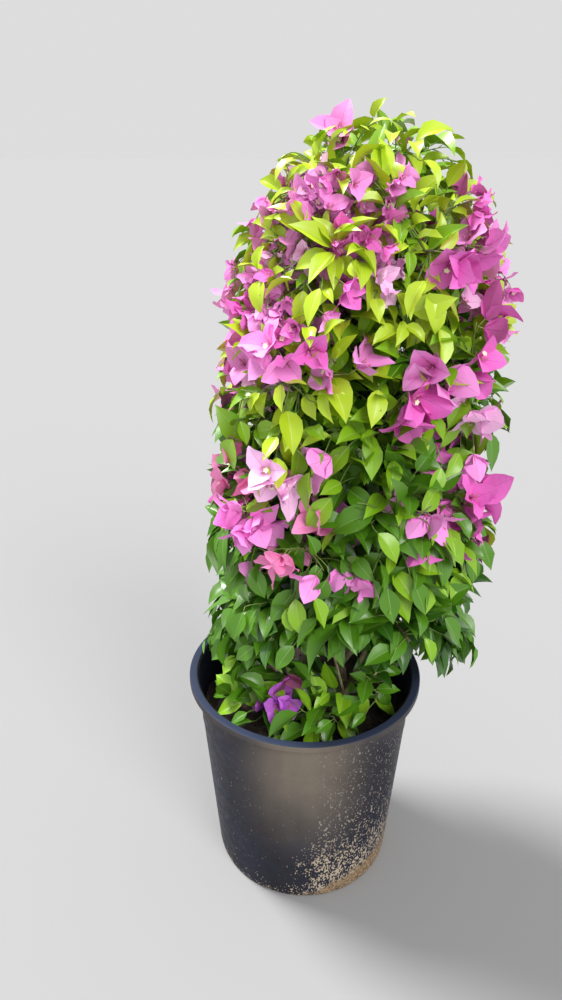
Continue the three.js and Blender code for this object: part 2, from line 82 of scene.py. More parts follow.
# Pot and soil. The rim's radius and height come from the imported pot.
RIM_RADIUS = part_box("pot")[1].x
POT_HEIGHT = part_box("pot")[1].z
LIP_WIDTH = 0.013
LIP_CURVE = 0.0012
RIM_DEPTH = 0.012
RIM_CURVE = 0.0022
BODY_TOP_RADIUS = 0.187
BASE_RADIUS = 0.159
BASE_CORNER = 0.006
POT_WALL = 0.003
POT_FLOOR = 0.005
POT_ROWS = 70
POT_SIDES = 160
POT_WOBBLE = -0.0007
WOBBLE_LOBES = 3
WOBBLE_TURN = 1.1
POT_RING_HEIGHT = 0.299
POT_RING_SWELL = 0.0009
POT_RING_WIDTH = 0.0022
SOIL_LEVEL = 0.316
SOIL_DIP = 0.006
SOIL_DIP_EDGE = (0.115, 0.178)
SOIL_DROP = 0.003
SOIL_RELIEF = 0.0045
SOIL_RINGS = 56
SOIL_SIDES = 150
SOIL_SKIRT = 0.03
CLOD_SCALE = 42

# Trunk, leaning left from its foot and then up the middle of the crown
TRUNK_FOOT = at(0.067, -0.013, SOIL_LEVEL)
TRUNK_BEND = at(0.047, -0.002, 0.532)
TRUNK_MIDDLE = at(0.064, 0.004, 0.800)
TRUNK_TIP = at(0.076, 0.008, 1.040)
TRUNK_RADII = (0.0105, 0.003)
TRUNK_TAPER = 0.85
FLARE = 0.0065
FLARE_HEIGHT = 0.020
FLARE_SHARE = 0.6
FLARE_LOBES = 5
LOBE_DEPTH = 0.12
BOUGH_FOOT_RADIUS = 0.0054
BOUGH_TIP_RADIUS = 0.0038
BOUGH_SAG = 0.2
BOUGH_STEPS = 24
BOUGH_FOOT_STEP = 0.014
COLLAR = 0.35
COLLAR_LENGTH = 0.012
BARK_RIDGES = 0.10
BARK_GRAIN = 0.05
RIDGE_SCALES = (2.2, 26)
GRAIN_SCALES = (5, 120)
SCAR_SWELL = 0.10
SCAR_STEP = 0.045
SCAR_SHIFT = 0.35
SCAR_WIDTH = 0.006
# How many sides and steps each limb's mesh has, and at how many points twigs keep clear of it
TRUNK_MESH = (22, 300)
BOUGH_MESH = (12, 60)
TRUNK_SAMPLES = 200
BOUGH_SAMPLES = 30
HALVINGS = 24

# Crown: a broad column with a rounded top, whose underside hangs lower round its edge
CROWN_BOTTOM = 0.415
CROWN_UNDERSIDE = 0.455
CROWN_TOP = 1.245
HANGING_EDGE = (0.110, 0.190)
FRONT_RISE = 0.125
FRONT_EDGE = (0.050, 0.190)
LOW_AXIS = at(0.060, -0.006, 0.450)
HIGH_AXIS = at(0.080, 0.010, 1.240)
LOW_RADIUS = 0.228
HIGH_RADIUS = 0.198
SHOULDER = 0.700
TOP_ROUNDNESS = 5


@dataclass
class Tier:
    """One ring of boughs with their masses of leaves, and the masses of flowers above it."""
    boughs: int
    turn: float
    foot: float
    tip: float
    out: float
    leaf_height: float
    arch: float
    blooms: int
    bloom_turn: float
    bloom_height: float


TIERS = [
    Tier(5, -64, 0.395, 0.536, 0.074, 0.560, -0.040, 4, -115, 0.692),
    Tier(4, -70, 0.600, 0.712, 0.070, 0.735, 0.004, 4, -82, 0.885),
    Tier(4, -127, 0.775, 0.885, 0.066, 0.905, 0.026, 3, -118, 1.060),
    Tier(3, -66, 0.955, 1.040, 0.056, 1.062, 0.034, 1, -150, 1.180),
]
LETTERS = "abcde"
LEAF_OUT = 0.128
LEAF_INSET = 0.034
BLOOM_OUT = 0.150
BLOOM_OUT_SHARE = 0.55
BLOOM_INSET = 0.046
BLOOM_ARCH = 0.014
BLOOM_FOOT_DROP = 0.112
TIP_TURN = 20
TIP_OUT = 0.030
TIP_HEIGHT = 1.180
TIP_INSET = 0.040
UNDERSIDE_CLEAR = 0.030
MINGLE = 0.028

# Leafy shoots and spent flowers low in the pot, by where each ends
SHOOTS = {
    "shoot_left": at(-0.094, -0.080, 0.352),
    "shoot_front": at(0.018, -0.128, 0.372),
    "shoot_right": at(0.120, -0.072, 0.385),
}
POT_FLOWER = at(-0.038, -0.040, 0.382)
SHOOT_ARCH = 0.010
SHOOT_CENTRE = 0.25
SHOOT_FOOT = 0.026
SHOOT_FOOT_STEP = 0.012
SHOOT_REACH = 0.168
SHOOT_TOP = 0.440
SHOOT_PLAY = 0.008
SOIL_CLEAR = 0.003
SOIL_TOUCH = 0.002

# Stems and twigs
STEM_RADIUS = 0.0030
STEM_TIP_RADIUS = 0.0016
STEM_SAG = 0.018
TWIG_RADII = (0.0011, 0.0006)
FINE_RADII = (0.0009, 0.0006)
OWN_TWIG_RADII = (0.0013, 0.0008)
TWIG_SPREAD = 62
TWIG_SPREAD_PLAY = 14
TWIG_LENGTH_PLAY = (0.85, 1.15)
TWIG_LAST = 0.94
TWIG_SIZES = (1.0, 0.8, 0.6, 0.42)
TWIG_LIFT = 0.12
TWIG_SAG = 0.5
TWIG_ELBOW = 0.55
TWIG_STEPS = 6
STEM_SIDES = 6
FINE_SPREAD = 48
FINE_END = 0.5
FINE_LENGTH = 0.55
LIMB_CLEAR = 0.003
# The sprays that stand out of each mass
SPRAYS = 3
SPRAY_LENGTHS = (0.13, 0.11, 0.09, 0.07, 0.05)
SPRAY_LEAF_STEP = 0.013
SPRAY_YOUTH = 0.16
SPRAY_MISSES = 2
SPRAY_FROM = (0.75, 1.0)
SPRAY_ASIDE = (-0.9, 0.9)
SPRAY_RISE = (-0.3, 0.9)
SPRAY_SAG = 0.35
SPRAY_ELBOW = 0.7
SPRAY_CLOSING = 0.7
SPRAY_SIZES = (1.1, 0.55)
LONG_TWIG_STEPS = 8
# The twigs of what stands out: crowds of flowers, shows of flowers, fans of leaves and bare stems
CROWD_TWIGS = 6
CROWD_LENGTH = 0.042
CROWD_FROM = 0.55
CROWD_SHARE = 0.42
OWN_TWIG_FROM = (0.55, 0.65, 0.75, 0.85, 0.95)
OWN_TWIG_RISE = 0.15
OWN_TWIG_LEAFY = 0.85
FAN_STEP = 0.04
FAN_AHEAD = 0.4
BARE_STEPS = 8
BARE_SIDES = 8
BARE_SHOWN = (0.0, 0.1, 0.2, 0.3, 0.4, 0.5, 0.6)
# Seeds of the random draws: of each kind of mass by its tier, and of what stands out
LEAVES_SEED = 100
BRACTS_SEED = 500
TIER_SEEDS = 100
LOW_SEED = 901
TOP_SEED = 950
SHOW_SEED = 3000
SHOW_LEAF_SEED = 4000
FAN_SEED = 5000
CROWD_SEED = 6000
SPRAY_SEED = 7000
MASS_SPRAY_SEEDS = 10

# The crown's ragged outline, and the clear view of what stands out in it
TIP_PLAY = 0.016
SHOW_PLAY = 0.040
TOP_INSET = 0.030
REACH_PLAY = 0.007
HOLLOW_DEPTH = 0.085
HOLLOW_SCALE = 9.0
HANG = 0.022
IN_FRONT = at(0, -0.92, 0.39)
SIGHT_STEP = 0.018
SIGHT_STEPS = 8
SIGHT_ROOM = 0.045
STEM_SIGHT_STEPS = 4
STEM_SIGHT_ROOM = 0.009


@dataclass
class Rule:
    """How one kind of mass grows its twigs, the finer twigs on them, and what they carry."""
    twigs: int
    first_twig: float
    twig_length: float
    fine_twigs: int
    leaf_step: float
    leaf_size: float
    droop: float
    face_out: float
    bloom: float


LEAF_RULE = Rule(twigs=14, first_twig=0.06, twig_length=0.100, fine_twigs=4, leaf_step=0.013,
                 leaf_size=1.0, droop=0.35, face_out=0.5, bloom=0.08)
BLOOM_RULE = Rule(twigs=16, first_twig=0.25, twig_length=0.082, fine_twigs=3, leaf_step=0.016,
                  leaf_size=0.9, droop=0.35, face_out=0.5, bloom=0.42)
SHOOT_RULE = Rule(twigs=9, first_twig=0.20, twig_length=0.052, fine_twigs=3, leaf_step=0.018,
                  leaf_size=0.95, droop=-0.1, face_out=0.2, bloom=0.0)
SPENT_RULE = Rule(twigs=4, first_twig=0.50, twig_length=0.040, fine_twigs=0, leaf_step=0.050,
                  leaf_size=0.8, droop=-0.1, face_out=0.2, bloom=1.0)

# Leaves. Their sizes are the blade's, past its stalk. A leaf's direction is a sum of its twig's, its
# own side's and outward, and droops less high in the crown.
LEAF_LENGTH = 0.060
LEAF_WIDTH = 0.032
LEAF_SIZE_PLAY = (0.55, 1.4, 0.95)
LEAF_STALK = 0.009
LEAF_STALK_PLAY = (0.8, 1.3)
LEAF_STALK_RADII = (0.0008, 0.0007)
LEAF_ROOM = 0.010
LEAF_SPOTS = (0.3, 0.75)
LEAFY_SHARE = 0.8
FIRST_LEAF = 0.25
LEAF_CLOSING = 0.6
LEAF_AHEAD = 0.55
LEAF_ASIDE = 0.75
LEAF_OUTWARD = 0.35
LEAF_TILT_PLAY = 0.6
DROOP_PLAY = (0.4, 1.6)
TIP_SAG = 0.15
YOUNG_SIZE = 0.84
OLD_SIZE = 1.12
HIGH_SIZE = 0.84
HIGH_WIDTH = 0.88
HIGH_CURL = 0.3
SMALL_LEAVES = (0.95, 1.12)
LEVEL_LEAVES = (0.60, 0.95)
LEVEL_DROOP = 0.15
CLAIM_CELL = 0.04

# A leaf's measure of age and light is a sum of shares for its height, how far out it is and its place
# on its twig. The colours go by it, so leaves high and far out are paler, partly young and partly
# painted light, and leaves low and within are deeper, partly old and partly painted shade.
YOUTH_AND_LIGHT_START = -0.10
YOUTH_AND_LIGHT_BY_HEIGHT = 0.62
YOUTH_AND_LIGHT_BY_OUT = 0.34
YOUTH_BY_PLACE = 0.12
YOUTH_PLAY = 0.07
YOUTH_INSET = 0.05
POT_YOUTH = 0.40
POT_YOUTH_PLAY = 0.2
MOOD = 0.13
END_MOOD = 0.05

# Flowers: three bracts round three tubes. Those high in the crown are smaller, level and crowded.
BLOOM_FROM = 0.5
BRACT_LENGTH = 0.047
BRACT_WIDTH = 0.037
BRACT_SPREAD = (22, 50)
BRACT_LENGTH_PLAY = (0.9, 1.1)
FLOWER_SIZE_PLAY = (0.82, 1.14)
FLOWER_SIZES = (0.92, 0.58)
FLOWER_DROOPS = (0.55, 0.1)
FLOWER_COUNTS = (1, 2, 3, 3)
TRUSS_PLAY = 0.5
FLOWER_TOWARD = 0.6
FLOWER_OUTWARD = 0.4
FLOWER_TILT_PLAY = 0.6
SMALL_FLOWERS = (0.88, 1.02)
FLOWER_STALK = 0.012
FLOWER_STALK_PLAY = (0.7, 1.5)
FLOWER_STALK_RADII = (0.0006, 0.0009)
FLOWER_ROOM = 0.013
FLOWER_SPOT = 0.6
SHOW_STEP = 0.005
SHOW_ROOM = 0.005
SHOW_ASIDE = 0.9
LONE_ASIDE = 0.1
SHOW_AHEAD = 0.5
TUBE_LENGTH = 0.017
TUBE_SPREAD = 0.35
TUBE_RADII = (0.0008, 0.0013)
STAR_SHARE = 0.16
STAR_PETAL = dict(length=0.0042, width=0.0034, bend=0.2, fold=0.1)

# The camera, fitted to the pot's rim and foot and to the pot's axis
IMAGE_SIZE = (562, 1000)
FOCAL_PIXELS = 751
CAMERA_PLACE = at(-0.0416, -1.0699, 1.2069)
CAMERA_DOWN = 25.1
SENSOR = 36.0


def lerp(a, b, share):
    return a + (b - a) * share


def clamp(value, low=0.0, high=1.0):
    return min(max(value, low), high)


def smoothstep(value, low, high):
    share = clamp((value - low) / (high - low))
    return share * share * (3 - 2 * share)


# Curves


class Path:
    """A curve as a string of points, read by the share of its length from its start."""

    def __init__(self, points):
        self.points = points
        self.marks = [0.0]
        for here, there in zip(points, points[1:]):
            self.marks.append(self.marks[-1] + (there - here).length)
        self.length = self.marks[-1]

    def _step(self, share):
        mark = clamp(share) * self.length
        i = int(clamp(bisect_right(self.marks, mark) - 1, 0, len(self.points) - 2))
        return i, (mark - self.marks[i]) / (self.marks[i + 1] - self.marks[i])

    def at(self, share):
        i, part = self._step(share)
        return self.points[i].lerp(self.points[i + 1], part)

    def heading(self, share):
        i, _ = self._step(share)
        return (self.points[i + 1] - self.points[i]).normalized()

    def first(self, share):
        """The path's first part, up to a share of its length."""
        steps = max(1, round(share * (len(self.points) - 1)))
        return Path([self.at(share * i / steps) for i in range(steps + 1)])


def arc(start, elbow, end, steps=10):
    """A quadratic curve."""
    points = []
    for i in range(steps + 1):
        share = i / steps
        points.append(start.lerp(elbow, share).lerp(elbow.lerp(end, share), share))
    return Path(points)


def bowed(start, end, rise, steps=10):
    """A curve between two places, its middle pulled up by a rise or down by one below 0."""
    return arc(start, start.lerp(end, 0.5) + UP * rise, end, steps)


def spline(knots, steps=16):
    """A centripetal spline through the knots."""
    ends = [2 * knots[0] - knots[1], *knots, 2 * knots[-1] - knots[-2]]
    points = [knots[0]]
    for p in zip(ends, ends[1:], ends[2:], ends[3:]):
        t = [0.0]
        for here, there in zip(p, p[1:]):
            t.append(t[-1] + (there - here).length ** 0.5)
        for i in range(1, steps + 1):
            mark = lerp(t[1], t[2], i / steps)

            def between(a, b, low, high):
                return a.lerp(b, (mark - low) / (high - low))

            a = [between(p[j], p[j + 1], t[j], t[j + 1]) for j in range(3)]
            b = [between(a[j], a[j + 1], t[j], t[j + 2]) for j in range(2)]
            points.append(between(b[0], b[1], t[1], t[2]))
    return Path(points)


def across(direction):
    """Any direction at a right angle to the given one."""
    helper = UP if abs(direction.z) < STEEP else at(1, 0, 0)
    return helper.cross(direction).normalized()


def square_to(direction, angle):
    """A direction at a right angle to the given unit one, at an angle round it."""
    first = across(direction)
    return first * math.cos(angle) + direction.cross(first) * math.sin(angle)


def level(direction):
    """A direction without its rise, of length 1."""
    return at(direction.x, direction.y, 0).normalized()


def turns(count, rng, step=GOLDEN_TURN):
    """Angles from a drawn start, each a step on from the last."""
    return list(accumulate(repeat(step, count), initial=rng.uniform(0, math.tau)))[1:]


def heading(degrees):
    return Vector((math.cos(math.radians(degrees)), math.sin(math.radians(degrees)), 0))


# Meshes


class Shape:
    """Points and faces gathered for one mesh, each face with the slot of its material."""

    def __init__(self):
        self.points = []
        self.faces = []
        self.slots = []
        self.count = 0

    def add(self, points, faces, slots=None):
        """faces are arrays of point numbers, of three or four columns each, and slots has the slot of
        each array where it isn't the first."""
        points = np.asarray(points, dtype=np.float32).reshape(-1, 3)
        for block, slot in zip(faces, slots or [0] * len(faces)):
            self.faces.append(block + self.count)
            self.slots.append(np.full(len(block), slot, dtype=np.int32))
        self.points.append(points)
        self.count += len(points)

    def add_all(self, points, faces, slots=None):
        """Many copies of one form, from the points of each copy and the faces of the first."""
        starts = (np.arange(len(points)) * points.shape[1])[:, None, None]
        self.add(points, [(block + starts).reshape(-1, block.shape[1]) for block in faces], slots)

    def build(self, name, materials):
        """The mesh as a smooth object that rides on the plant's body."""
        mesh = bpy.data.meshes.new(name)
        points = np.concatenate(self.points)
        sizes = np.concatenate([np.full(len(block), block.shape[1]) for block in self.faces])
        starts = np.concatenate([[0], np.cumsum(sizes)[:-1]])
        corners = np.concatenate([block.ravel() for block in self.faces])
        mesh.vertices.add(len(points))
        mesh.vertices.foreach_set("co", points.ravel())
        mesh.loops.add(len(corners))
        mesh.loops.foreach_set("vertex_index", corners.astype(np.int32))
        mesh.polygons.add(len(sizes))
        mesh.polygons.foreach_set("loop_start", starts.astype(np.int32))
        mesh.polygons.foreach_set("material_index", np.concatenate(self.slots))
        mesh.polygons.foreach_set("use_smooth", np.ones(len(sizes), dtype=bool))
        mesh.update(calc_edges=True)
        for material in materials:
            mesh.materials.append(material)
        piece = bpy.data.objects.new(name, mesh)
        bpy.context.scene.collection.objects.link(piece)
        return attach(piece, "root")


@lru_cache(maxsize=None)
def tube_faces(rings, sides):
    """Quads round a tube, from its first ring to its last, and its two end caps as fans."""
    ring, side = np.meshgrid(np.arange(rings - 1), np.arange(sides), indexing="ij")
    here = (ring * sides + side).ravel()
    beside = (ring * sides + (side + 1) % sides).ravel()
    quads = np.stack([here, beside, beside + sides, here + sides], axis=1)
    spokes = np.arange(1, sides - 1)
    start = np.stack([np.zeros_like(spokes), spokes + 1, spokes], axis=1)
    last = (rings - 1) * sides
    end = np.stack([np.full_like(spokes, last), last + spokes, last + spokes + 1], axis=1)
    return quads, start, end


def add_limb(shape, path, radius_at, sides, steps):
    """A closed tube along a path. radius_at takes the share along it and the angle round it."""
    points = []
    first = across(path.heading(0))
    for i in range(steps + 1):
        share = i / steps
        direction = path.heading(share)
        first = (first - direction * first.dot(direction)).normalized()
        second = direction.cross(first)
        centre = path.at(share)
        for j in range(sides):
            angle = j / sides * math.tau
            radius = radius_at(share, angle)
            points.append(centre + first * (radius * math.cos(angle)) + second * (radius * math.sin(angle)))
    shape.add(points, tube_faces(steps + 1, sides))


def tapered(start, end):
    """The radius of a limb that tapers evenly and is round."""
    def radius_at(share, _):
        return lerp(start, end, share)

    return radius_at


def capped_faces(rings, sides):
    """Faces round rings of points that stand between a first point and a last one."""
    side = np.arange(sides)
    beside = (side + 1) % sides
    last = rings * sides + 1
    start = np.stack([np.zeros_like(side), beside + 1, side + 1], axis=1)
    end = np.stack([np.full_like(side, last), side + last - sides, beside + last - sides], axis=1)
    return [tube_faces(rings, sides)[0] + 1, start, end]


def ring_of(radius, sides, wobble=0.0):
    """Points round a level circle, as (x, y). wobble is how far it is out of round."""
    angles = [side / sides * math.tau for side in range(sides)]
    radii = [radius + wobble * math.sin(WOBBLE_LOBES * angle + WOBBLE_TURN) for angle in angles]
    return [(own * math.cos(angle), own * math.sin(angle)) for own, angle in zip(radii, angles)]


def closed(rings, downward=False):
    """A closed shape from level rings of points, of which the first and the last are one point.
    downward is for an outer wall given from its top to its foot, and turns the faces over."""
    faces = capped_faces(len(rings) - 2, len(rings[1]))
    shape = Shape()
    shape.add([point for ring in rings for point in ring],
              [block[:, ::-1] for block in faces] if downward else faces)
    return shape


# Leaves and bracts


@dataclass
class BladeKind:
    """The outline of a blade: how soon it widens, how it narrows, its rows, its midrib's width and the
    waves along its edge. Then the ranges of its width as a share of the usual, how far it bends over
    its length, each side's angle from flat, the height of its waves, and how far it twists."""
    widen: float
    narrow: float
    rows: int
    rib: float
    ripples: float
    widths: tuple = (1.0, 1.0)
    bends: tuple = (0.0, 0.0)
    folds: tuple = (0.0, 0.0)
    waves: tuple = (0.0, 0.0)
    twist: float = 0.0


LEAF_KIND = BladeKind(widen=0.92, narrow=1.45, rows=8, rib=0.0010, ripples=2.0, widths=(0.86, 1.08),
                      bends=(0.15, 1.2), folds=(0.1, 0.6), waves=(0.0, 0.0018), twist=0.25)
BRACT_KIND = BladeKind(widen=0.60, narrow=0.98, rows=7, rib=0.0008, ripples=2.6, widths=(0.9, 1.12),
                       bends=(-0.2, 1.2), folds=(0.05, 0.45), waves=(0.0011, 0.0036), twist=0.35)
STAR_KIND = BladeKind(widen=0.45, narrow=0.50, rows=3, rib=0.0004, ripples=1.0)
COLUMNS = (-1.0, -0.5, 0.0, 0.0, 0.5, 1.0)
RIB_SIDE = (0, 0, -1, 1, 0, 0)
SIDE_LAG = 1.9
BEND_GROWTH = 1.25
RIB_TAPER = 1.3
RIB_MOST = 0.3
FOLD_BY_CURL = 2 / 3


def unit(vectors):
    """Arrays of vectors, each of length 1."""
    return vectors / np.linalg.norm(vectors, axis=-1, keepdims=True)


@dataclass
class Blades:
    """Leaves or bracts of one colour, as rows of numbers: where a blade starts, the way it runs and
    the way it faces, and then its form."""
    kind: BladeKind
    rows: list = field(default_factory=list)

    def add(self, root, along, face, length, width, bend, fold, ripple=0.0, twist=0.0, phase=0.0):
        """bend and twist are angles over the whole length, fold is each side's angle from flat,
        ripple is the height of the edge's waves."""
        self.rows.append((*root, *along, *face, length, width, bend, fold, ripple, twist, phase))

    def grow(self, root, along, face, length, width, rng, curl=0.0):
        """A blade of a form drawn from its kind's ranges, curled further where curl is above 0."""
        kind = self.kind
        width *= rng.uniform(*kind.widths)
        bend = rng.uniform(*kind.bends) + curl
        fold = rng.uniform(*kind.folds) + curl * FOLD_BY_CURL
        ripple = rng.uniform(*kind.waves)
        twist = rng.uniform(-kind.twist, kind.twist)
        self.add(root, along, face, length, width, bend, fold, ripple, twist, rng.uniform(0, math.tau))

    def shape(self):
        """All the blades as one shape. The arrays go by blade, by row from root to tip, and across."""
        kind = self.kind
        numbers = np.array(self.rows)
        root, along, face = (numbers[:, None, None, i:i + 3] for i in (0, 3, 6))
        length, width, bend, fold, ripple, twist, phase = numbers.T[9:, :, None, None]
        t = (0.5 - 0.5 * np.cos(np.linspace(0, math.pi, kind.rows + 1)))[None, :, None]
        peak = kind.widen / (kind.widen + kind.narrow)
        outline = t ** kind.widen * (1 - t) ** kind.narrow
        outline /= peak ** kind.widen * (1 - peak) ** kind.narrow
        slope = -bend * t ** BEND_GROWTH
        run = length * np.diff(t, axis=1)
        middle = (slope[:, 1:] + slope[:, :-1]) / 2
        x, z = (np.concatenate([np.zeros_like(length), np.cumsum(run * way(middle), axis=1)], axis=1)
                for way in (np.cos, np.sin))
        half = width / 2 * outline
        rib = np.minimum(kind.rib / 2 * (RIB_TAPER - t), half * RIB_MOST)
        columns = np.array(COLUMNS)
        aside = half * columns + rib * np.array(RIB_SIDE)
        along_edge = math.tau * kind.ripples * t + phase + SIDE_LAG * (columns < 0)
        wave = np.sin(along_edge) * columns ** 2 * outline ** 0.5
        above = np.abs(aside) * np.tan(fold) + ripple * wave
        roll = twist * t
        across_blade = aside * np.cos(roll) - above * np.sin(roll)
        height = aside * np.sin(roll) + above * np.cos(roll)
        forward = x - np.sin(slope) * height
        upward = z + np.cos(slope) * height
        left = unit(np.cross(face, along))
        up = np.cross(along, left)
        points = (root + forward[..., None] * along + across_blade[..., None] * left
                  + upward[..., None] * up)
        inner = points[:, 1:-1].reshape(len(points), -1, 3)
        shape = Shape()
        shape.add_all(np.concatenate([points[:, :1, 2], inner, points[:, -1:, 2]], axis=1), *self._faces())
        return shape

    def _faces(self):
        """One blade's faces, and their materials: the second is the midrib's."""
        wide = len(COLUMNS)
        tip = 1 + (self.kind.rows - 1) * wide
        faces = []
        slots = []
        for column in range(wide - 1):
            last = tip - wide + column
            here = np.arange(1 + column, last, wide)[:, None]
            faces += [here + (0, wide, wide + 1, 1), np.array([(0, 1 + column, 2 + column)]),
                      np.array([(last, tip, last + 1)])]
            slots += [int(column == wide // 2 - 1)] * 3
        return faces, slots


@dataclass
class Rods:
    """Many short straight tubes, such as leaf stalks and flower tubes, as rows of numbers."""
    sides: int
    rows: list = field(default_factory=list)

    def add(self, start, end, start_radius, end_radius):
        self.rows.append((*start, *end, start_radius, end_radius))

    def shape(self):
        numbers = np.array(self.rows)
        ends = numbers[:, :6].reshape(-1, 2, 1, 3)
        radii = numbers[:, 6:, None, None]
        along = unit(ends[:, 1] - ends[:, 0])
        helper = np.where(np.abs(along[..., 2:]) < STEEP, (0.0, 0.0, 1.0), (1.0, 0.0, 0.0))
        first = unit(np.cross(helper, along))
        second = np.cross(along, first)
        angle = (np.arange(self.sides) / self.sides * math.tau)[:, None]
        ring = first * np.cos(angle) + second * np.sin(angle)
        shape = Shape()
        shape.add_all((ends + ring[:, None] * radii).reshape(len(ends), -1, 3), tube_faces(2, self.sides))
        return shape


# Materials


def srgb(red, green, blue):
    """A colour given from 0 to 255 as seen, in the shader's own linear scale."""
    shares = [value / 255 for value in (red, green, blue)]
    return tuple(s / 12.92 if s <= 0.04045 else ((s + 0.055) / 1.055) ** 2.4 for s in shares) + (1.0,)


class Finish:
    """A material on one Principled shader, with helpers for its nodes."""

    def __init__(self, name, colour, roughness, **values):
        self.material = bpy.data.materials.new(name)
        self.material.use_nodes = True
        self.tree = self.material.node_tree
        self.shader = self.tree.nodes["Principled BSDF"]
        for socket, value in {"Base_Color": colour, "Roughness": roughness, **values}.items():
            self.shader.inputs[socket.replace("_", " ")].default_value = value
        self.place = self.node("ShaderNodeTexCoord").outputs["Object"]

    def node(self, kind, fed=None, **settings):
        """A node with its settings, and with a value or another node's output in its sockets."""
        made = self.tree.nodes.new(kind)
        for name, value in settings.items():
            setattr(made, name, value)
        for socket, value in (fed or {}).items():
            self.feed(made.inputs[socket], value)
        return made

    def feed(self, socket, value):
        if isinstance(value, bpy.types.NodeSocket):
            self.tree.links.new(value, socket)
        else:
            socket.default_value = value

    def noise(self, scale, detail=3.0, roughness=0.55, at=None):
        fed = {"Vector": at or self.place, "Scale": scale, "Detail": detail, "Roughness": roughness}
        return self.node("ShaderNodeTexNoise", fed).outputs["Fac"]

    def stretched(self, x, y, z):
        fed = {0: self.place, 1: (x, y, z)}
        return self.node("ShaderNodeVectorMath", fed, operation="MULTIPLY").outputs[0]

    def maths(self, operation, a, b=0.0):
        return self.node("ShaderNodeMath", {0: a, 1: b}, operation=operation).outputs[0]

    plus = partialmethod(maths, "ADD")
    minus = partialmethod(maths, "SUBTRACT")
    times = partialmethod(maths, "MULTIPLY")
    most = partialmethod(maths, "MAXIMUM")

    def axes(self, vector):
        """A vector as three numbers."""
        return self.node("ShaderNodeSeparateXYZ", {0: vector}).outputs

    def between(self, value, low, high, to_low=0.0, to_high=1.0):
        """A smooth step from one number to another as a value goes from low to high."""
        fed = {"Value": value, "From Min": low, "From Max": high, "To Min": to_low, "To Max": to_high}
        return self.node("ShaderNodeMapRange", fed, interpolation_type="SMOOTHSTEP").outputs[0]

    def mix(self, share, a, b):
        made = self.node("ShaderNodeMix", {0: share}, data_type="RGBA")
        for socket, value in zip([socket for socket in made.inputs if socket.type == "RGBA"], (a, b)):
            self.feed(socket, value)
        return next(socket for socket in made.outputs if socket.type == "RGBA")

    def colour(self, value):
        self.feed(self.shader.inputs["Base Color"], value)

    def roughness(self, value):
        self.feed(self.shader.inputs["Roughness"], value)

    def bump(self, height, distance):
        made = self.node("ShaderNodeBump", {"Strength": 1.0, "Distance": distance, "Height": height})
        self.feed(self.shader.inputs["Normal"], made.outputs[0])


# Most of a noise's values lie in this band.
NOISE_BAND = (0.3, 0.7)

# A leaf's and a bract's surface: roughness, grains to the metre, and how deep they are
LEAF_SURFACE = (0.33, 420.0, 0.00005)
RIB_SURFACE = (0.40, 420.0, 0.00005)
STALK_SURFACE = (0.55, 420.0, 0.00005)
BRACT_SURFACE = (0.62, 160.0, 0.0007)
GLOSS_PLAY = (-0.03, 0.04)
LEAF_SHEEN = 0.6


def foliage(name, colour, surface, **values):
    """A leaf or bract: one plain colour, with a fine uneven gloss and a slightly quilted surface."""
    roughness, grain, relief = surface
    look = Finish(name, srgb(*colour), roughness, **values)
    grainy = look.noise(grain, detail=2.0)
    look.roughness(look.between(grainy, *NOISE_BAND, *[roughness + play for play in GLOSS_PLAY]))
    look.bump(grainy, relief)
    return look.material


# The pot's colours and layers. Pairs are from where to where something changes, in metres from the
# foot, or across the front from the middle. Of four numbers, the last two are how much there is at
# each of those places.
PLASTIC_DARK = srgb(27, 29, 39)
PLASTIC_BLUE = srgb(35, 39, 57)
PLASTIC_SHEEN = 0.08
PLASTIC_ROUGHNESS = (0.36, 0.48)
# The lip's flat top, paler blue-grey: a painted reflection of the sky.
LIP_PAINTED_REFLECTION = srgb(50, 58, 78)
LIP_LEVEL = (0.37, 0.38)
UNDER_LIP = (0.374, 0.366)
FACING_UP = (0.3, 0.8)
CLOUDS = 6.0
FINE_GRAIN = 75.0
DUST_AND_LIGHT_COLOUR = srgb(120, 111, 100)
DUST_STREAKS = (34.0, 34.0, 5.0)
DUST_STREAK_SHARE = 0.5
DUST_UNEVEN = (0.45, 0.95, 0.65, 1.0)
# The paler band down the middle of the dust is partly dust and partly painted light.
DUST_AND_LIGHT_MIDDLE = -0.004
DUST_AND_LIGHT_BY_WIDTH = (0.015, 0.135, 1.0, 0.08)
DUST_AND_LIGHT_BY_HEIGHT = (0.07, 0.32, 0.06, 1.0)
DUST_UNDER_RIM = (0.29, 0.385, 0.0, 0.34)
DUST_MATT = 0.25
SAND_HIGH = srgb(142, 136, 127)
SAND_LOW = srgb(186, 171, 150)
SAND_COLOUR_LEVEL = (0.05, 0.26)
SAND_WAVER = 0.06
SAND_EDGE = (-0.020, 0.034)
SAND_LOW_EDGE = (-0.034, -0.014)
SAND_BEHIND = (-0.02, 0.08)
SAND_THIN = (0.36, 0.05, 0.46, 0.68)
SAND_THICK = (0.185, 0.055, 0.0, 0.36)
SAND_FOOT = (0.050, 0.0, 0.10, 0.55)
SAND_COVER = 0.9
SAND_MATT = 0.4
CRUST_DARK = srgb(96, 76, 56)
CRUST_PALE = srgb(166, 144, 116)
CRUST_GRAIN = 240.0
CRUST_SIDE = (-0.02, 0.10)
CRUST_LEVEL = (0.004, 0.046)
CRUST_WAVER = 0.045
CRUST_EDGE = (-0.004, 0.010)
POT_RELIEF = 0.0008
SAND_RELIEF = 0.6
FINE_RELIEF = 0.12
# Of a splash's grains and lumps: how many to the metre, their detail, how much longer they are
# upward, and their weight
SPLASH_LAYERS = ((330.0, 1.5, 0.62, 0.72), (120.0, 2.0, 0.55, 0.28))
SPLASH_BY_DENSITY = 0.16
SPLASH_EDGE = (0.665, 0.705)


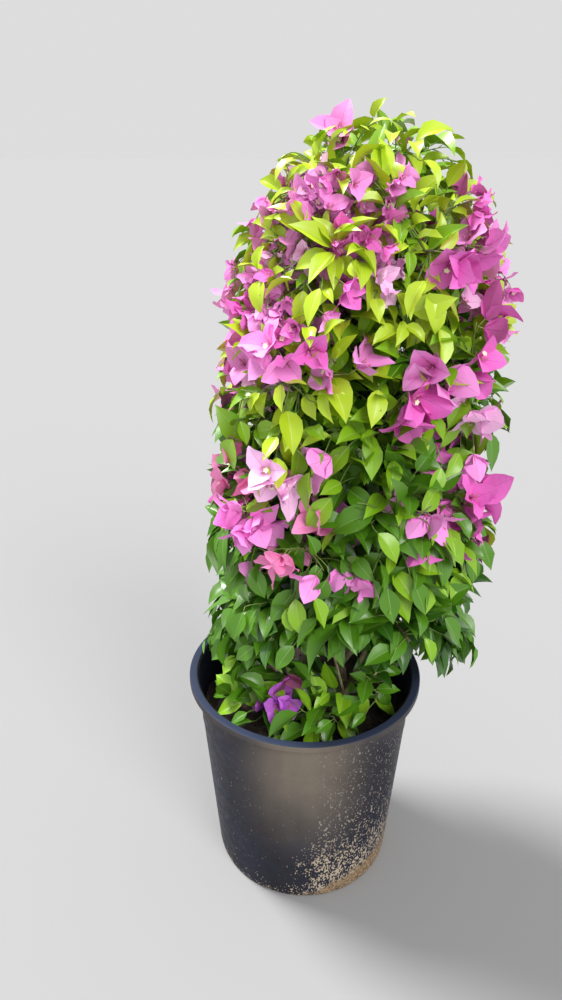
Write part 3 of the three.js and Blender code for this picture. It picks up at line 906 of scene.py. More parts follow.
def dust_and_light_band(look, x, z, cloudy):
    """How thick the dust lies: most under the rim, and in a band a little left of the middle that fades
    downward and is partly dust and partly painted light.
    """
    streaked = look.noise(1.0, at=look.stretched(*DUST_STREAKS))
    height = look.between(z, *DUST_AND_LIGHT_BY_HEIGHT)
    from_middle = look.maths("ABSOLUTE", look.minus(x, DUST_AND_LIGHT_MIDDLE))
    width = look.between(from_middle, *DUST_AND_LIGHT_BY_WIDTH)
    dust_and_light = look.most(look.times(height, width), look.between(z, *DUST_UNDER_RIM))
    uneven = look.plus(cloudy, look.times(streaked, DUST_STREAK_SHARE))
    return look.times(dust_and_light, look.between(uneven, *DUST_UNEVEN))


def sand_density(look, x, y, z, cloudy):
    """How much of the wall dried sand covers: the right and the back, more toward the foot."""
    wavering = look.plus(x, look.times(look.minus(cloudy, 0.5), SAND_WAVER))
    behind = look.between(y, *SAND_BEHIND)
    thin, thick = (look.times(look.most(look.between(wavering, *edge), behind), look.between(z, *level))
                   for edge, level in ((SAND_EDGE, SAND_THIN), (SAND_LOW_EDGE, SAND_THICK)))
    return look.plus(look.most(thin, look.between(z, *SAND_FOOT)), thick)


def splashes(look, dense):
    """Dried splashes of sand: grains that run together where they lie thick."""
    layers = [look.times(look.noise(scale, detail, at=look.stretched(1.0, 1.0, drawn)), weight)
              for scale, detail, drawn, weight in SPLASH_LAYERS]
    return look.between(look.plus(look.plus(*layers), look.times(dense, SPLASH_BY_DENSITY)), *SPLASH_EDGE)


def sand_crust(look, x, z, fine):
    """A crust of sand round the foot, highest on the right."""
    wavering = look.times(look.minus(fine, 0.5), CRUST_WAVER)
    top = look.plus(look.between(x, *CRUST_SIDE, *CRUST_LEVEL), wavering)
    return look.between(look.minus(top, z), *CRUST_EDGE)


def outer_wall(look, x, y, z):
    """1 outside the pot's wall and 0 inside."""
    radius_squared = look.plus(look.maths("POWER", x, 2.0), look.maths("POWER", y, 2.0))
    flare = (BODY_TOP_RADIUS - BASE_RADIUS) / POT_HEIGHT
    wall = look.plus(look.times(z, flare), BASE_RADIUS - POT_WALL / 2)
    return look.maths("GREATER_THAN", radius_squared, look.maths("POWER", wall, 2.0))


def pot_plastic():
    """Charcoal plastic under a layer of dust, with dried sand splashed up from the foot. A band down the
    middle of the dust is paler, partly dust and partly painted light. The lip's flat top is painted
    paler, a painted reflection of the sky, and it and the inside stay free of dust."""
    look = Finish("pot_plastic", PLASTIC_DARK, 0.5, Specular_IOR_Level=PLASTIC_SHEEN)
    x, y, z = look.axes(look.place)
    cloudy = look.noise(CLOUDS, detail=4.0)
    fine = look.noise(FINE_GRAIN, detail=4.0)
    plastic = look.mix(look.between(cloudy, *NOISE_BAND), PLASTIC_DARK, PLASTIC_BLUE)
    normal = look.node("ShaderNodeNewGeometry").outputs["Normal"]
    level = look.between(look.axes(normal)[2], *FACING_UP)
    # Upward faces at the lip's height are painted paler blue-grey, a painted reflection of the sky.
    plastic = look.mix(look.times(level, look.between(z, *LIP_LEVEL)), plastic, LIP_PAINTED_REFLECTION)
    exposed = look.times(outer_wall(look, x, y, z), look.minus(1.0, level))
    # The dust on the outer wall, with its paler middle band that is partly painted light.
    dust_and_light = look.times(dust_and_light_band(look, x, z, cloudy), exposed)
    below_lip = look.times(exposed, look.between(z, *UNDER_LIP))
    splashed = look.times(splashes(look, sand_density(look, x, y, z, cloudy)), below_lip)
    crusted = sand_crust(look, x, z, fine)
    sand = look.mix(look.between(z, *SAND_COLOUR_LEVEL), SAND_LOW, SAND_HIGH)
    crust = look.mix(look.between(look.noise(CRUST_GRAIN), *NOISE_BAND), CRUST_DARK, CRUST_PALE)
    sandy = look.mix(look.times(splashed, SAND_COVER), look.mix(dust_and_light, plastic, DUST_AND_LIGHT_COLOUR), sand)
    look.colour(look.mix(crusted, sandy, crust))
    covered = look.most(splashed, crusted)
    matt = look.plus(look.times(dust_and_light, DUST_MATT), look.times(covered, SAND_MATT))
    look.roughness(look.plus(matt, look.between(fine, *NOISE_BAND, *PLASTIC_ROUGHNESS)))
    look.bump(look.plus(look.times(covered, SAND_RELIEF), look.times(fine, FINE_RELIEF)), POT_RELIEF)
    return look.material


# The mix's dark brown, with both earth colours darkened further as painted shade under the crown.
EARTH_DARK = srgb(24, 19, 16)
EARTH_BROWN = srgb(60, 47, 37)
EARTH_FLECK = srgb(116, 98, 76)
CLOD_GRAIN = 70.0
FLECK_GRAIN = 320.0
FLECK_EDGE = (0.68, 0.73)
EARTH_RELIEF = 0.003


def potting_mix():
    look = Finish("potting_mix", EARTH_BROWN, 0.95)
    clods = look.noise(CLOD_GRAIN, detail=6.0, roughness=0.7)
    flecks = look.noise(FLECK_GRAIN, detail=2.0)
    # The earth's dark tones are partly painted shade.
    earth = look.mix(look.between(clods, *NOISE_BAND), EARTH_DARK, EARTH_BROWN)
    look.colour(look.mix(look.between(flecks, *FLECK_EDGE), earth, EARTH_FLECK))
    look.bump(clods, EARTH_RELIEF)
    return look.material


# Colours of bark: on its ridges, in its grooves, and where it is mossy
GREY_BARK = (srgb(150, 138, 112), srgb(92, 80, 62), srgb(112, 122, 70))
TWIG_BARK = (srgb(128, 112, 84), srgb(88, 74, 56), srgb(104, 116, 60))
PALE_BARK = (srgb(204, 190, 158), srgb(160, 142, 110), srgb(160, 160, 108))
BARK_STREAKS = (420.0, 420.0, 60.0)
BARK_ROUGHNESS = (0.92, 0.74)
BARK_DEPTH = 0.0009
MOSS_PATCHES = 38.0
MOSS_SHARE = (0.56, 0.74, 0.0, 0.55)


def bark(name, ridge, groove, moss):
    """Grey-brown bark, lighter on its ridges, with a green tinge in patches."""
    look = Finish(name, ridge, 0.85)
    ridges = look.noise(1.0, detail=5.0, at=look.stretched(*BARK_STREAKS))
    worn = look.mix(look.between(ridges, *NOISE_BAND), groove, ridge)
    look.colour(look.mix(look.between(look.noise(MOSS_PATCHES), *MOSS_SHARE), worn, moss))
    look.roughness(look.between(ridges, *NOISE_BAND, *BARK_ROUGHNESS))
    look.bump(ridges, BARK_DEPTH)
    return look.material


# Pot and soil


def outer_radius(height):
    return lerp(BASE_RADIUS, BODY_TOP_RADIUS, height / POT_HEIGHT)


def inner_radius(height):
    return outer_radius(height) - POT_WALL


def rounded(centre, radius, start, end, steps=6):
    """Points on an arc of an outline, from one angle to another."""
    points = []
    for i in range(steps + 1):
        angle = math.radians(lerp(start, end, i / steps))
        points.append((centre[0] + radius * math.cos(angle), centre[1] + radius * math.sin(angle)))
    return points


def ring_swell(height):
    """The faint moulded ring round the body."""
    return POT_RING_SWELL * math.exp(-((height - POT_RING_HEIGHT) / POT_RING_WIDTH) ** 2)


def make_pot():
    rim_foot = POT_HEIGHT - RIM_DEPTH
    wall_top = rim_foot - 2 * POT_WALL
    edge = RIM_RADIUS - RIM_CURVE
    inner_edge = RIM_RADIUS - LIP_WIDTH + LIP_CURVE
    outline = rounded((BASE_RADIUS - BASE_CORNER, BASE_CORNER), BASE_CORNER, -90, 0)
    for i in range(1, POT_ROWS + 1):
        height = lerp(BASE_CORNER, wall_top, i / POT_ROWS)
        outline.append((outer_radius(height) + ring_swell(height), height))
    outline.append((RIM_RADIUS - 3 * RIM_CURVE, rim_foot - RIM_CURVE / 2))
    outline += rounded((edge, rim_foot + RIM_CURVE), RIM_CURVE, -90, 0)
    outline += rounded((edge, POT_HEIGHT - RIM_CURVE), RIM_CURVE, 0, 90)
    outline += rounded((inner_edge, POT_HEIGHT - LIP_CURVE), LIP_CURVE, 90, 180, steps=3)
    for i in range(6):
        height = lerp(POT_HEIGHT - 2 * POT_WALL, 2 * POT_FLOOR, i / 5)
        outline.append((inner_radius(height), height))
    outline.append((inner_radius(POT_FLOOR) - POT_FLOOR, POT_FLOOR))
    rings = [[(x, y, height) for x, y in ring_of(radius, POT_SIDES, POT_WOBBLE * height / POT_HEIGHT)]
             for radius, height in outline]
    pot = closed([[(0, 0, 0)], *rings, [(0, 0, POT_FLOOR)]]).build("pot_shell", [pot_plastic()])
    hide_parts("pot")


def soil_height(x, y):
    """The soil's surface, lower beside the wall and cloddy all over."""
    clods = noise.fractal(Vector((x, y, 0.3)) * CLOD_SCALE, 1.0, 2.0, 4)
    dip = SOIL_DIP * smoothstep(math.hypot(x, y), *SOIL_DIP_EDGE)
    return SOIL_LEVEL - SOIL_DROP - dip + SOIL_RELIEF * clods


def make_soil():
    """The soil's surface, with a skirt down the pot's wall and a flat underside."""
    reach = inner_radius(SOIL_LEVEL) - GAP
    under = SOIL_LEVEL - SOIL_SKIRT
    rings = [[(x, y, soil_height(x, y)) for x, y in ring_of(reach * ring / SOIL_RINGS, SOIL_SIDES)]
             for ring in range(1, SOIL_RINGS + 1)]
    rings.append([(x, y, under) for x, y in ring_of(inner_radius(under) - GAP, SOIL_SIDES)])
    shape = closed([[(0, 0, soil_height(0, 0))], *rings, [(0, 0, under)]], downward=True)
    soil = shape.build("soil_surface", [potting_mix()])
    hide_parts("soil")


# Trunk and boughs

trunk_line = spline([TRUNK_FOOT, TRUNK_FOOT + UP * FLARE_HEIGHT, TRUNK_BEND, TRUNK_MIDDLE, TRUNK_TIP])


def trunk_radius(share):
    return lerp(*TRUNK_RADII, share ** TRUNK_TAPER)


def trunk_swell(share):
    return FLARE * math.exp(-share * trunk_line.length / FLARE_HEIGHT)


def trunk_at(height):
    """How far along the trunk a height is, by halving."""
    low, high = 0.0, 1.0
    for _ in range(HALVINGS):
        middle = (low + high) / 2
        if trunk_line.at(middle).z < height:
            low = middle
        else:
            high = middle
    return (low + high) / 2


def bark_noise(share, angle, length, seed, round_scale, long_scale):
    along = share * length * long_scale + seed
    return noise.noise(Vector((math.cos(angle) * round_scale, math.sin(angle) * round_scale, along)))


def bark_relief(share, angle, length, seed):
    """How far the bark stands out, as a share of the limb's radius: long ridges, and a swelling at
    each old leaf scar."""
    ridges = bark_noise(share, angle, length, seed, *RIDGE_SCALES)
    grain = bark_noise(share, angle, length, seed, *GRAIN_SCALES)
    joint = share * length / SCAR_STEP + SCAR_SHIFT * seed
    swelling = math.exp(-((joint % 1.0) - 0.5) ** 2 / SCAR_WIDTH)
    return 1 + BARK_RIDGES * ridges + BARK_GRAIN * grain + SCAR_SWELL * swelling


def make_trunk(material):
    shape = Shape()

    def radius_at(share, angle):
        swell = trunk_swell(share)
        lobe = 1 + LOBE_DEPTH * (swell / FLARE) * math.cos(FLARE_LOBES * angle)
        return (trunk_radius(share) + swell) * lobe * bark_relief(share, angle, trunk_line.length, 0)

    add_limb(shape, trunk_line, radius_at, *TRUNK_MESH)
    trunk = shape.build("trunk_bark", [material])
    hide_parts("trunk")


def bough_line(tier, degrees, place):
    foot = trunk_line.at(trunk_at(tier.foot + place * BOUGH_FOOT_STEP))
    tip = place_at(degrees, tier.out, tier.tip)
    return bowed(foot, tip, (foot.z - tip.z) * BOUGH_SAG, steps=BOUGH_STEPS)


def make_boughs(lines, material):
    shape = Shape()
    for seed, line in enumerate(lines.values(), start=1):
        def radius_at(share, angle):
            taper = lerp(BOUGH_FOOT_RADIUS, BOUGH_TIP_RADIUS, share)
            collar = 1 + COLLAR * math.exp(-share * line.length / COLLAR_LENGTH)
            return taper * collar * bark_relief(share, angle, line.length, seed)

        add_limb(shape, line, radius_at, *BOUGH_MESH)
    boughs = shape.build("boughs_bark", [material])
    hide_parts(*lines)


# Crown


def crown_axis(height):
    share = (height - LOW_AXIS.z) / (HIGH_AXIS.z - LOW_AXIS.z)
    point = LOW_AXIS.lerp(HIGH_AXIS, share)
    point.z = height
    return point


def crown_radius(height):
    share = clamp((height - CROWN_BOTTOM) / (CROWN_TOP - CROWN_BOTTOM))
    shoulder = clamp((height - SHOULDER) / (CROWN_TOP - SHOULDER))
    return lerp(LOW_RADIUS, HIGH_RADIUS, share) * math.sqrt(1 - shoulder ** TOP_ROUNDNESS)


def out_from_axis(point):
    return math.hypot(*(point - crown_axis(point.z)).xy)


def place_at(degrees, out, height):
    return crown_axis(height) + heading(degrees) * out


def lowest_leaf(point):
    """The crown's underside over a point: it hangs lower round the edge, and is open at the front,
    where the pot's inside shows."""
    out = out_from_axis(point)
    hanging = lerp(CROWN_UNDERSIDE, CROWN_BOTTOM, smoothstep(out, *HANGING_EDGE))
    return hanging + FRONT_RISE * smoothstep(LOW_AXIS.y - point.y, *FRONT_EDGE)


def lifted(point):
    """The point, raised to clear the underside where it would end below it."""
    point.z = max(point.z, lowest_leaf(point) + UNDERSIDE_CLEAR)
    return point


def in_crown(point):
    out = out_from_axis(point)
    return lowest_leaf(point) < point.z < CROWN_TOP and out < crown_radius(point.z)


def in_pot(point):
    return SOIL_LEVEL + SOIL_CLEAR < point.z < SHOOT_TOP and math.hypot(point.x, point.y) < SHOOT_REACH


@dataclass
class Mass:
    """One mass of foliage: its space's centre, its stem and its rule."""
    name: str
    centre: Vector
    stem: Path
    rule: Rule
    within: object
    seed: int


def leave_trunk(height, target):
    """Where a thin stem leaves the trunk, on the side it heads for."""
    share = trunk_at(height)
    centre = trunk_line.at(share)
    return centre + level(target - centre) * (trunk_radius(share) + trunk_swell(share) * FLARE_SHARE)


def carry_on(start, ahead, end):
    """A stem from a limb's tip to a place, that leaves the tip along the limb."""
    return arc(start, start + ahead * (end - start).length * 0.5, end)


def lay_out():
    """The boughs' lines by node name, and the masses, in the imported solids' order."""
    boughs = {}
    masses = []
    for row, tier in enumerate(TIERS):
        for i in range(tier.boughs):
            degrees = tier.turn + i * 360 / tier.boughs
            label = f"{row + 1}{LETTERS[i]}"
            line = bough_line(tier, degrees, i)
            boughs[f"bough_{label}"] = line
            out = crown_radius(tier.leaf_height) - LEAF_INSET
            end = lifted(place_at(degrees, out, tier.leaf_height + tier.arch))
            centre = lifted(place_at(degrees, LEAF_OUT, tier.leaf_height))
            stem = carry_on(line.at(1), line.heading(1), end)
            masses.append(Mass(f"leaves_{label}", centre, stem, LEAF_RULE, in_crown,
                               LEAVES_SEED + TIER_SEEDS * row + i))
        for i in range(tier.blooms):
            degrees = tier.bloom_turn + i * 360 / tier.blooms
            radius = crown_radius(tier.bloom_height)
            centre = place_at(degrees, min(BLOOM_OUT, radius * BLOOM_OUT_SHARE), tier.bloom_height)
            end = place_at(degrees, radius - BLOOM_INSET, tier.bloom_height + BLOOM_ARCH)
            stem = bowed(leave_trunk(tier.bloom_height - BLOOM_FOOT_DROP, end), end, -STEM_SAG)
            masses.append(Mass(f"bracts_{row + 1}{LETTERS[i]}", centre, stem, BLOOM_RULE, in_crown,
                               BRACTS_SEED + TIER_SEEDS * row + i))
    stem = carry_on(TRUNK_TIP, trunk_line.heading(1), place_at(TIP_TURN, TIP_OUT, CROWN_TOP - TIP_INSET))
    centre = place_at(TIP_TURN, TIP_OUT, TIP_HEIGHT)
    masses.append(Mass("leaves_top", centre, stem, LEAF_RULE, in_crown, TOP_SEED))
    low = {**SHOOTS, "bracts_low": POT_FLOWER}
    for place, (name, end) in enumerate(low.items()):
        stem = bowed(leave_trunk(SOIL_LEVEL + SHOOT_FOOT + place * SHOOT_FOOT_STEP, end), end, SHOOT_ARCH)
        rule = SPENT_RULE if name == "bracts_low" else SHOOT_RULE
        centre = end.lerp(TRUNK_FOOT, SHOOT_CENTRE)
        masses.append(Mass(name, centre, stem, rule, in_pot, LOW_SEED + place))
    return boughs, masses


# Twigs, leaves and flowers

# The greens run from lime to deep: lime and fresh stand partly for young leaves and partly for painted
# light, mid and deep partly for old leaves and partly for painted shade.
LEAF_COLOURS = {
    "leaves_lime": (180, 208, 40),
    "leaves_fresh": (132, 180, 32),
    "leaves_mid": (80, 133, 22),
    "leaves_deep": (50, 97, 20),
}
LEAST_YOUTH_AND_LIGHT = {"leaves_lime": 0.72, "leaves_fresh": 0.52, "leaves_mid": 0.24}
BRACT_COLOURS = {
    "bracts_pale": (252, 198, 240),
    "bracts_pink": (248, 156, 228),
    "bracts_magenta": (236, 116, 206),
    "bracts_rose": (246, 146, 200),
    "bracts_spent": (200, 108, 218),
    "bracts_dusky": (186, 100, 148),
}
TWIG_GREEN = (112, 138, 62)
STALK_GREEN = (150, 160, 90)
TUBE_ROSE = (196, 120, 150)
STAR_CREAM = (244, 240, 206)
SPENT_BRACTS = ("bracts_spent", "bracts_dusky")
# A leaf's midrib is paler than its blade, partly its own paler green and partly a painted highlight along
# the fold.
RIB_PALE_AND_HIGHLIGHT = 230
RIB_SHARE = 0.30
BRACT_RIB_SHADE = 0.80

# What flowers' colours are drawn from: low on the left, on the right, and everywhere else
ROSY_BRACTS = ("bracts_pale", "bracts_pink", "bracts_pink", "bracts_rose", "bracts_magenta")
DEEP_BRACTS = ("bracts_magenta", "bracts_magenta", "bracts_pink", "bracts_pink", "bracts_pale")
USUAL_BRACTS = ("bracts_pink", "bracts_pink", "bracts_pink", "bracts_magenta", "bracts_pale")
ROSY_BELOW = 0.86
ROSY_LEFT_OF = 0.04
DEEP_RIGHT_OF = 0.10


class Plant:
    """The crown as it grows: where limbs, leaves and flowers are, and what they are made of."""

    def __init__(self, boughs, masses):
        self.masses = masses
        self.leaves = {name: Blades(LEAF_KIND) for name in LEAF_COLOURS}
        self.bracts = {name: Blades(BRACT_KIND) for name in BRACT_COLOURS}
        self.leaf_stalks = Rods(3)
        self.flower_stalks = Rods(3)
        self.tubes = Rods(5)
        self.stars = Blades(STAR_KIND)
        self.woody = Shape()
        self.pale = Shape()
        self.green = Shape()
        self.taken = {}
        samples = [(trunk_line.at(i / TRUNK_SAMPLES), trunk_radius(i / TRUNK_SAMPLES))
                   for i in range(TRUNK_SAMPLES + 1)]
        for line in boughs.values():
            samples += [(line.at(i / BOUGH_SAMPLES), BOUGH_FOOT_RADIUS) for i in range(BOUGH_SAMPLES + 1)]
        self.limb_radii = [radius for _, radius in samples]
        self.limbs = kdtree.KDTree(len(samples))
        for number, (point, _) in enumerate(samples):
            self.limbs.insert(point, number)
        self.limbs.balance()

    def may_hold(self, mass, point):
        """Whether a point is in a mass's own space: nearer to its centre than to any other's, give
        or take the width of a leaf."""
        if not mass.within(point):
            return False
        own = (mass.centre - point).length - MINGLE
        return all((other.centre - point).length > own for other in self.masses if other is not mass)

    def clear_of_limbs(self, point):
        _, number, distance = self.limbs.find(point)
        return distance > self.limb_radii[number] + LIMB_CLEAR

    def is_free(self, point, room):
        i, j, k = cell_of(point)
        for near in product((i - 1, i, i + 1), (j - 1, j, j + 1), (k - 1, k, k + 1)):
            for other, other_room in self.taken.get(near, ()):
                if (other - point).length < (room + other_room) / 2:
                    return False
        return True

    def claim(self, points, room):
        """Takes the places of a leaf or flower, or says that a neighbour has one of them."""
        if not all(self.is_free(point, room) for point in points):
            return False
        for point in points:
            self.taken.setdefault(cell_of(point), []).append((point, room))
        return True

    def find_twig(self, mass, parent, share, turn, length, spread, rng):
        """A twig off a stem that ends in the mass's own space, tried at smaller and smaller sizes."""
        start = parent.at(share)
        ahead = parent.heading(share)
        side = square_to(ahead, turn)
        angle = math.radians(spread + rng.uniform(-TWIG_SPREAD_PLAY, TWIG_SPREAD_PLAY))
        direction = ahead * math.cos(angle) + side * math.sin(angle)
        length *= rng.uniform(*TWIG_LENGTH_PLAY)
        for size in TWIG_SIZES:
            reach = length * size
            end = start + direction * reach - UP * (reach * droop_at(mass, start) * TWIG_SAG)
            if self.may_hold(mass, end) and self.clear_of_limbs(end):
                elbow = start + direction * (reach * TWIG_ELBOW) + UP * (reach * TWIG_LIFT)
                return arc(start, elbow, end, TWIG_STEPS)
        return None

    def add_stem(self, line, radii, woody=False):
        shape = self.woody if woody else self.green
        add_limb(shape, line, tapered(*radii), STEM_SIDES, len(line.points) - 1)

    def clothe(self, mass, twig, rng):
        """A twig with its leaves or flowers, and the finer twigs on it with theirs."""
        mood = rng.uniform(-MOOD, MOOD)
        blooming = rng.random() < bloom_chance(mass, twig.at(1))
        used = self.leaf_out(mass, twig, mood, blooming, rng)
        for i, turn in enumerate(turns(mass.rule.fine_twigs, rng), start=1):
            share = i / (mass.rule.fine_twigs + FINE_END)
            fine = self.find_twig(mass, twig, share, turn, twig.length * FINE_LENGTH, FINE_SPREAD, rng)
            if self.clothe_fine(mass, fine, mood, blooming, rng):
                used = max(used, share)
        if used:
            self.add_stem(twig.first(used), TWIG_RADII)

    def clothe_fine(self, mass, twig, mood, blooming, rng):
        """A twig without finer ones, as far as it carries something. The answer is whether it does."""
        used = self.leaf_out(mass, twig, mood, blooming, rng) if twig else 0
        if used:
            self.add_stem(twig.first(used), FINE_RADII)
        return used > 0

    def leaf_out(self, mass, twig, mood, blooming, rng):
        """Leaves along a twig, two turns in five apart, with flowers on the outer part of one that
        blooms. The answer is how much of the twig is in use."""
        used = 0
        nodes = max(1, round(twig.length * LEAFY_SHARE / mass.rule.leaf_step))
        angles = turns(nodes + 1, rng, TWO_FIFTHS)
        colour = bract_colour(mass, twig.at(1), rng)
        for i, turn in enumerate(angles):
            share = lerp(FIRST_LEAF, 1.0, i / nodes)
            node = twig.at(share)
            ahead = twig.heading(share)
            side = square_to(ahead, turn)
            if blooming and share > BLOOM_FROM:
                grown = self.add_truss(mass, node, ahead + side, colour, rng)
            else:
                aside = side * (1 - LEAF_CLOSING * share ** 4)
                grown = self.add_leaf(mass, node, ahead, aside, share, mood, rng)
            if grown:
                used = share
        return used

    def add_truss(self, mass, node, direction, colour, rng):
        """A few flowers from one node. The answer is whether there was room for any."""
        high = smoothstep(node.z, *SMALL_FLOWERS)
        grown = False
        for _ in range(rng.choice(FLOWER_COUNTS) + round(high)):
            toward = (direction + scatter(rng) * TRUSS_PLAY).normalized()
            droop = lerp(*FLOWER_DROOPS, high)
            grown |= self.add_flower(mass, node, toward, droop, colour, rng, lerp(*FLOWER_SIZES, high))
        return grown

    def add_leaf(self, mass, node, ahead, side, share, mood, rng, size=1.0, ragged=True):
        """A leaf on its stalk. The answer is whether there was room for it."""
        outward = outward_from(mass, node)
        droop = droop_at(mass, node) * rng.uniform(*DROOP_PLAY)
        along = ahead * LEAF_AHEAD + side * LEAF_ASIDE + outward * LEAF_OUTWARD - UP * droop
        along.normalize()
        youth_and_light = self.youth_and_light(mass, node, share, mood, rng)
        high = smoothstep(node.z, *SMALL_LEAVES)
        size *= mass.rule.leaf_size * rng.triangular(*LEAF_SIZE_PLAY)
        size *= lerp(OLD_SIZE, YOUNG_SIZE, clamp(youth_and_light)) * lerp(1.0, HIGH_SIZE, high)
        length = LEAF_LENGTH * size
        root = node + along * (LEAF_STALK * size * rng.uniform(*LEAF_STALK_PLAY))
        tip = root + along * length - UP * TIP_SAG * length
        if not within_outline(mass, tip, ragged) or not self.clear_of_limbs(root.lerp(tip, 0.5)):
            return False
        if not self.claim([root.lerp(tip, spot) for spot in LEAF_SPOTS], LEAF_ROOM):
            return False
        face = UP + outward * mass.rule.face_out + scatter(rng) * LEAF_TILT_PLAY
        face = (face - along * face.dot(along)).normalized()
        self.leaf_stalks.add(node, root, *LEAF_STALK_RADII)
        width = LEAF_WIDTH * size * lerp(1.0, HIGH_WIDTH, high)
        self.leaves[leaf_colour(youth_and_light)].grow(root, along, face, length, width, rng, HIGH_CURL * high)
        return True

    def youth_and_light(self, mass, node, share, mood, rng):
        """How young and how lit a leaf looks: its height and how far out it sits stand partly for its age
        and partly for painted light and shade, its place on its twig for its age.
        """
        if mass.within is in_pot:
            return POT_YOUTH + mood + rng.uniform(-POT_YOUTH_PLAY, POT_YOUTH_PLAY)
        high = (node.z - CROWN_BOTTOM) / (CROWN_TOP - CROWN_BOTTOM)
        out = out_from_axis(node) / crown_radius(min(node.z, CROWN_TOP - YOUTH_INSET))
        # Height and outwardness make leaves paler where light falls: partly age, partly painted light.
        youth_and_light = YOUTH_AND_LIGHT_START + YOUTH_AND_LIGHT_BY_HEIGHT * high + YOUTH_AND_LIGHT_BY_OUT * out + YOUTH_BY_PLACE * share
        return youth_and_light + lift_at(node, LIME_PATCHES) + mood + rng.uniform(-YOUTH_PLAY, YOUTH_PLAY)

    def add_flower(self, mass, foot, toward, droop, colour, rng, size=1.0, room=None, ragged=True):
        """Three bracts round three thin tubes, on a stalk. The answer is whether there was room."""
        outward = level(foot - crown_axis(foot.z))
        axis = toward * FLOWER_TOWARD + outward * FLOWER_OUTWARD - UP * droop
        axis = (axis + scatter(rng) * FLOWER_TILT_PLAY).normalized()
        size *= rng.uniform(*FLOWER_SIZE_PLAY)
        base = foot + axis * (FLOWER_STALK * rng.uniform(*FLOWER_STALK_PLAY))
        length = BRACT_LENGTH * size
        turn = rng.uniform(0, math.tau)
        sides = [square_to(axis, turn + i * math.tau / 3) for i in range(3)]
        spreads = [math.radians(rng.uniform(*BRACT_SPREAD)) for _ in sides]
        alongs = [axis * math.cos(spread) + side * math.sin(spread) for side, spread in zip(sides, spreads)]
        if not all(within_outline(mass, base + along * length, ragged) for along in alongs):
            return False
        spots = [base + along * length * FLOWER_SPOT for along in alongs]
        if not self.claim(spots, room or FLOWER_ROOM * size):
            return False
        self.flower_stalks.add(foot, base, *FLOWER_STALK_RADII)
        for side, spread, along in zip(sides, spreads, alongs):
            inward = axis * math.sin(spread) - side * math.cos(spread)
            own_length = length * rng.uniform(*BRACT_LENGTH_PLAY)
            self.bracts[colour].grow(base, along, inward, own_length, BRACT_WIDTH * size, rng)
            self.add_tube(base, (axis + side * TUBE_SPREAD).normalized(), size, rng)
        return True

    def add_tube(self, base, along, size, rng):
        """One of a flower's tubes. Only some of them are open, as a small star."""
        end = base + along * (TUBE_LENGTH * size)
        self.tubes.add(base, end, *TUBE_RADII)
        if rng.random() > STAR_SHARE:
            return
        for i in range(5):
            petal = (square_to(along, i * math.tau / 5) + along * TUBE_SPREAD).normalized()
            self.stars.add(end, petal, along, **STAR_PETAL)

    def find_spray(self, mass, rng):
        """The line of a long arching shoot that stands out of the crown."""
        start = mass.stem.at(rng.uniform(*SPRAY_FROM))
        outward = outward_from(mass, start)
        aside = outward.cross(UP) * rng.uniform(*SPRAY_ASIDE)
        direction = (outward + aside + UP * rng.uniform(*SPRAY_RISE)).normalized()
        for reach in SPRAY_LENGTHS:
            end = start + direction * reach - UP * reach * SPRAY_SAG
            if within_outline(mass, end):
                elbow = start + direction * reach * SPRAY_ELBOW + UP * reach * TWIG_LIFT
                return arc(start, elbow, end, LONG_TWIG_STEPS)
        return None

    def add_spray(self, mass, number):
        """A shoot that stands out, with young leaves along it until it runs into its neighbours."""
        rng = random.Random(SPRAY_SEED + MASS_SPRAY_SEEDS * mass.seed + number)
        spray = self.find_spray(mass, rng)
        if not spray:
            return
        used = 0
        missed = 0
        nodes = round(spray.length / SPRAY_LEAF_STEP)
        for i, turn in enumerate(turns(nodes - 1, rng, TWO_FIFTHS), start=2):
            if missed > SPRAY_MISSES:
                break
            share = i / nodes
            ahead = spray.heading(share)
            side = square_to(ahead, turn) * (1 - SPRAY_CLOSING * share ** 6)
            size = lerp(*SPRAY_SIZES, share ** 2)
            if self.add_leaf(mass, spray.at(share), ahead, side, share, SPRAY_YOUTH, rng, size):
                used = share
                missed = 0
            else:
                missed += 1
        if used:
            self.add_stem(spray.first(used), OWN_TWIG_RADII)

    def twig_to(self, place):
        """A twig to a place from the nearest stem, and the mass it belongs to."""
        space = in_pot if place.z < SHOOT_TOP else in_crown
        starts = [(mass, mass.stem.at(share)) for mass in self.masses if mass.within is space
                  for share in OWN_TWIG_FROM]
        mass, start = min(starts, key=lambda found: (found[1] - place).length)
        twig = bowed(start, place, (place - start).length * OWN_TWIG_RISE, LONG_TWIG_STEPS)
        self.add_stem(twig, OWN_TWIG_RADII)
        return mass, twig

    def show(self, cluster, number):
        """A cluster of flowers that stands out, on a twig of its own."""
        rng = random.Random(SHOW_SEED + number)
        mass, twig = self.twig_to(cluster.place)
        aside = SHOW_ASIDE if cluster.flowers > 1 else LONE_ASIDE
        for i, turn in enumerate(turns(cluster.flowers, rng)):
            foot = twig.at(1 - SHOW_STEP * i / twig.length)
            toward = (square_to(IN_FRONT, turn) * aside + IN_FRONT * SHOW_AHEAD).normalized()
            self.add_flower(mass, foot, toward, cluster.droop, cluster.colour, rng, cluster.size,
                            SHOW_ROOM, ragged=False)
        return mass, twig

    def fan_out(self, fan, number):
        """Long arching leaves all round the end of a shoot that stands out."""
        rng = random.Random(FAN_SEED + number)
        mass, twig = self.twig_to(fan.place)
        for i, turn in enumerate(turns(fan.leaves, rng)):
            node = twig.at(1 - FAN_STEP * i)
            side = square_to(IN_FRONT, turn)
            self.add_leaf(mass, node, IN_FRONT * FAN_AHEAD, side, 1.0, fan.mood, rng, fan.size, ragged=False)

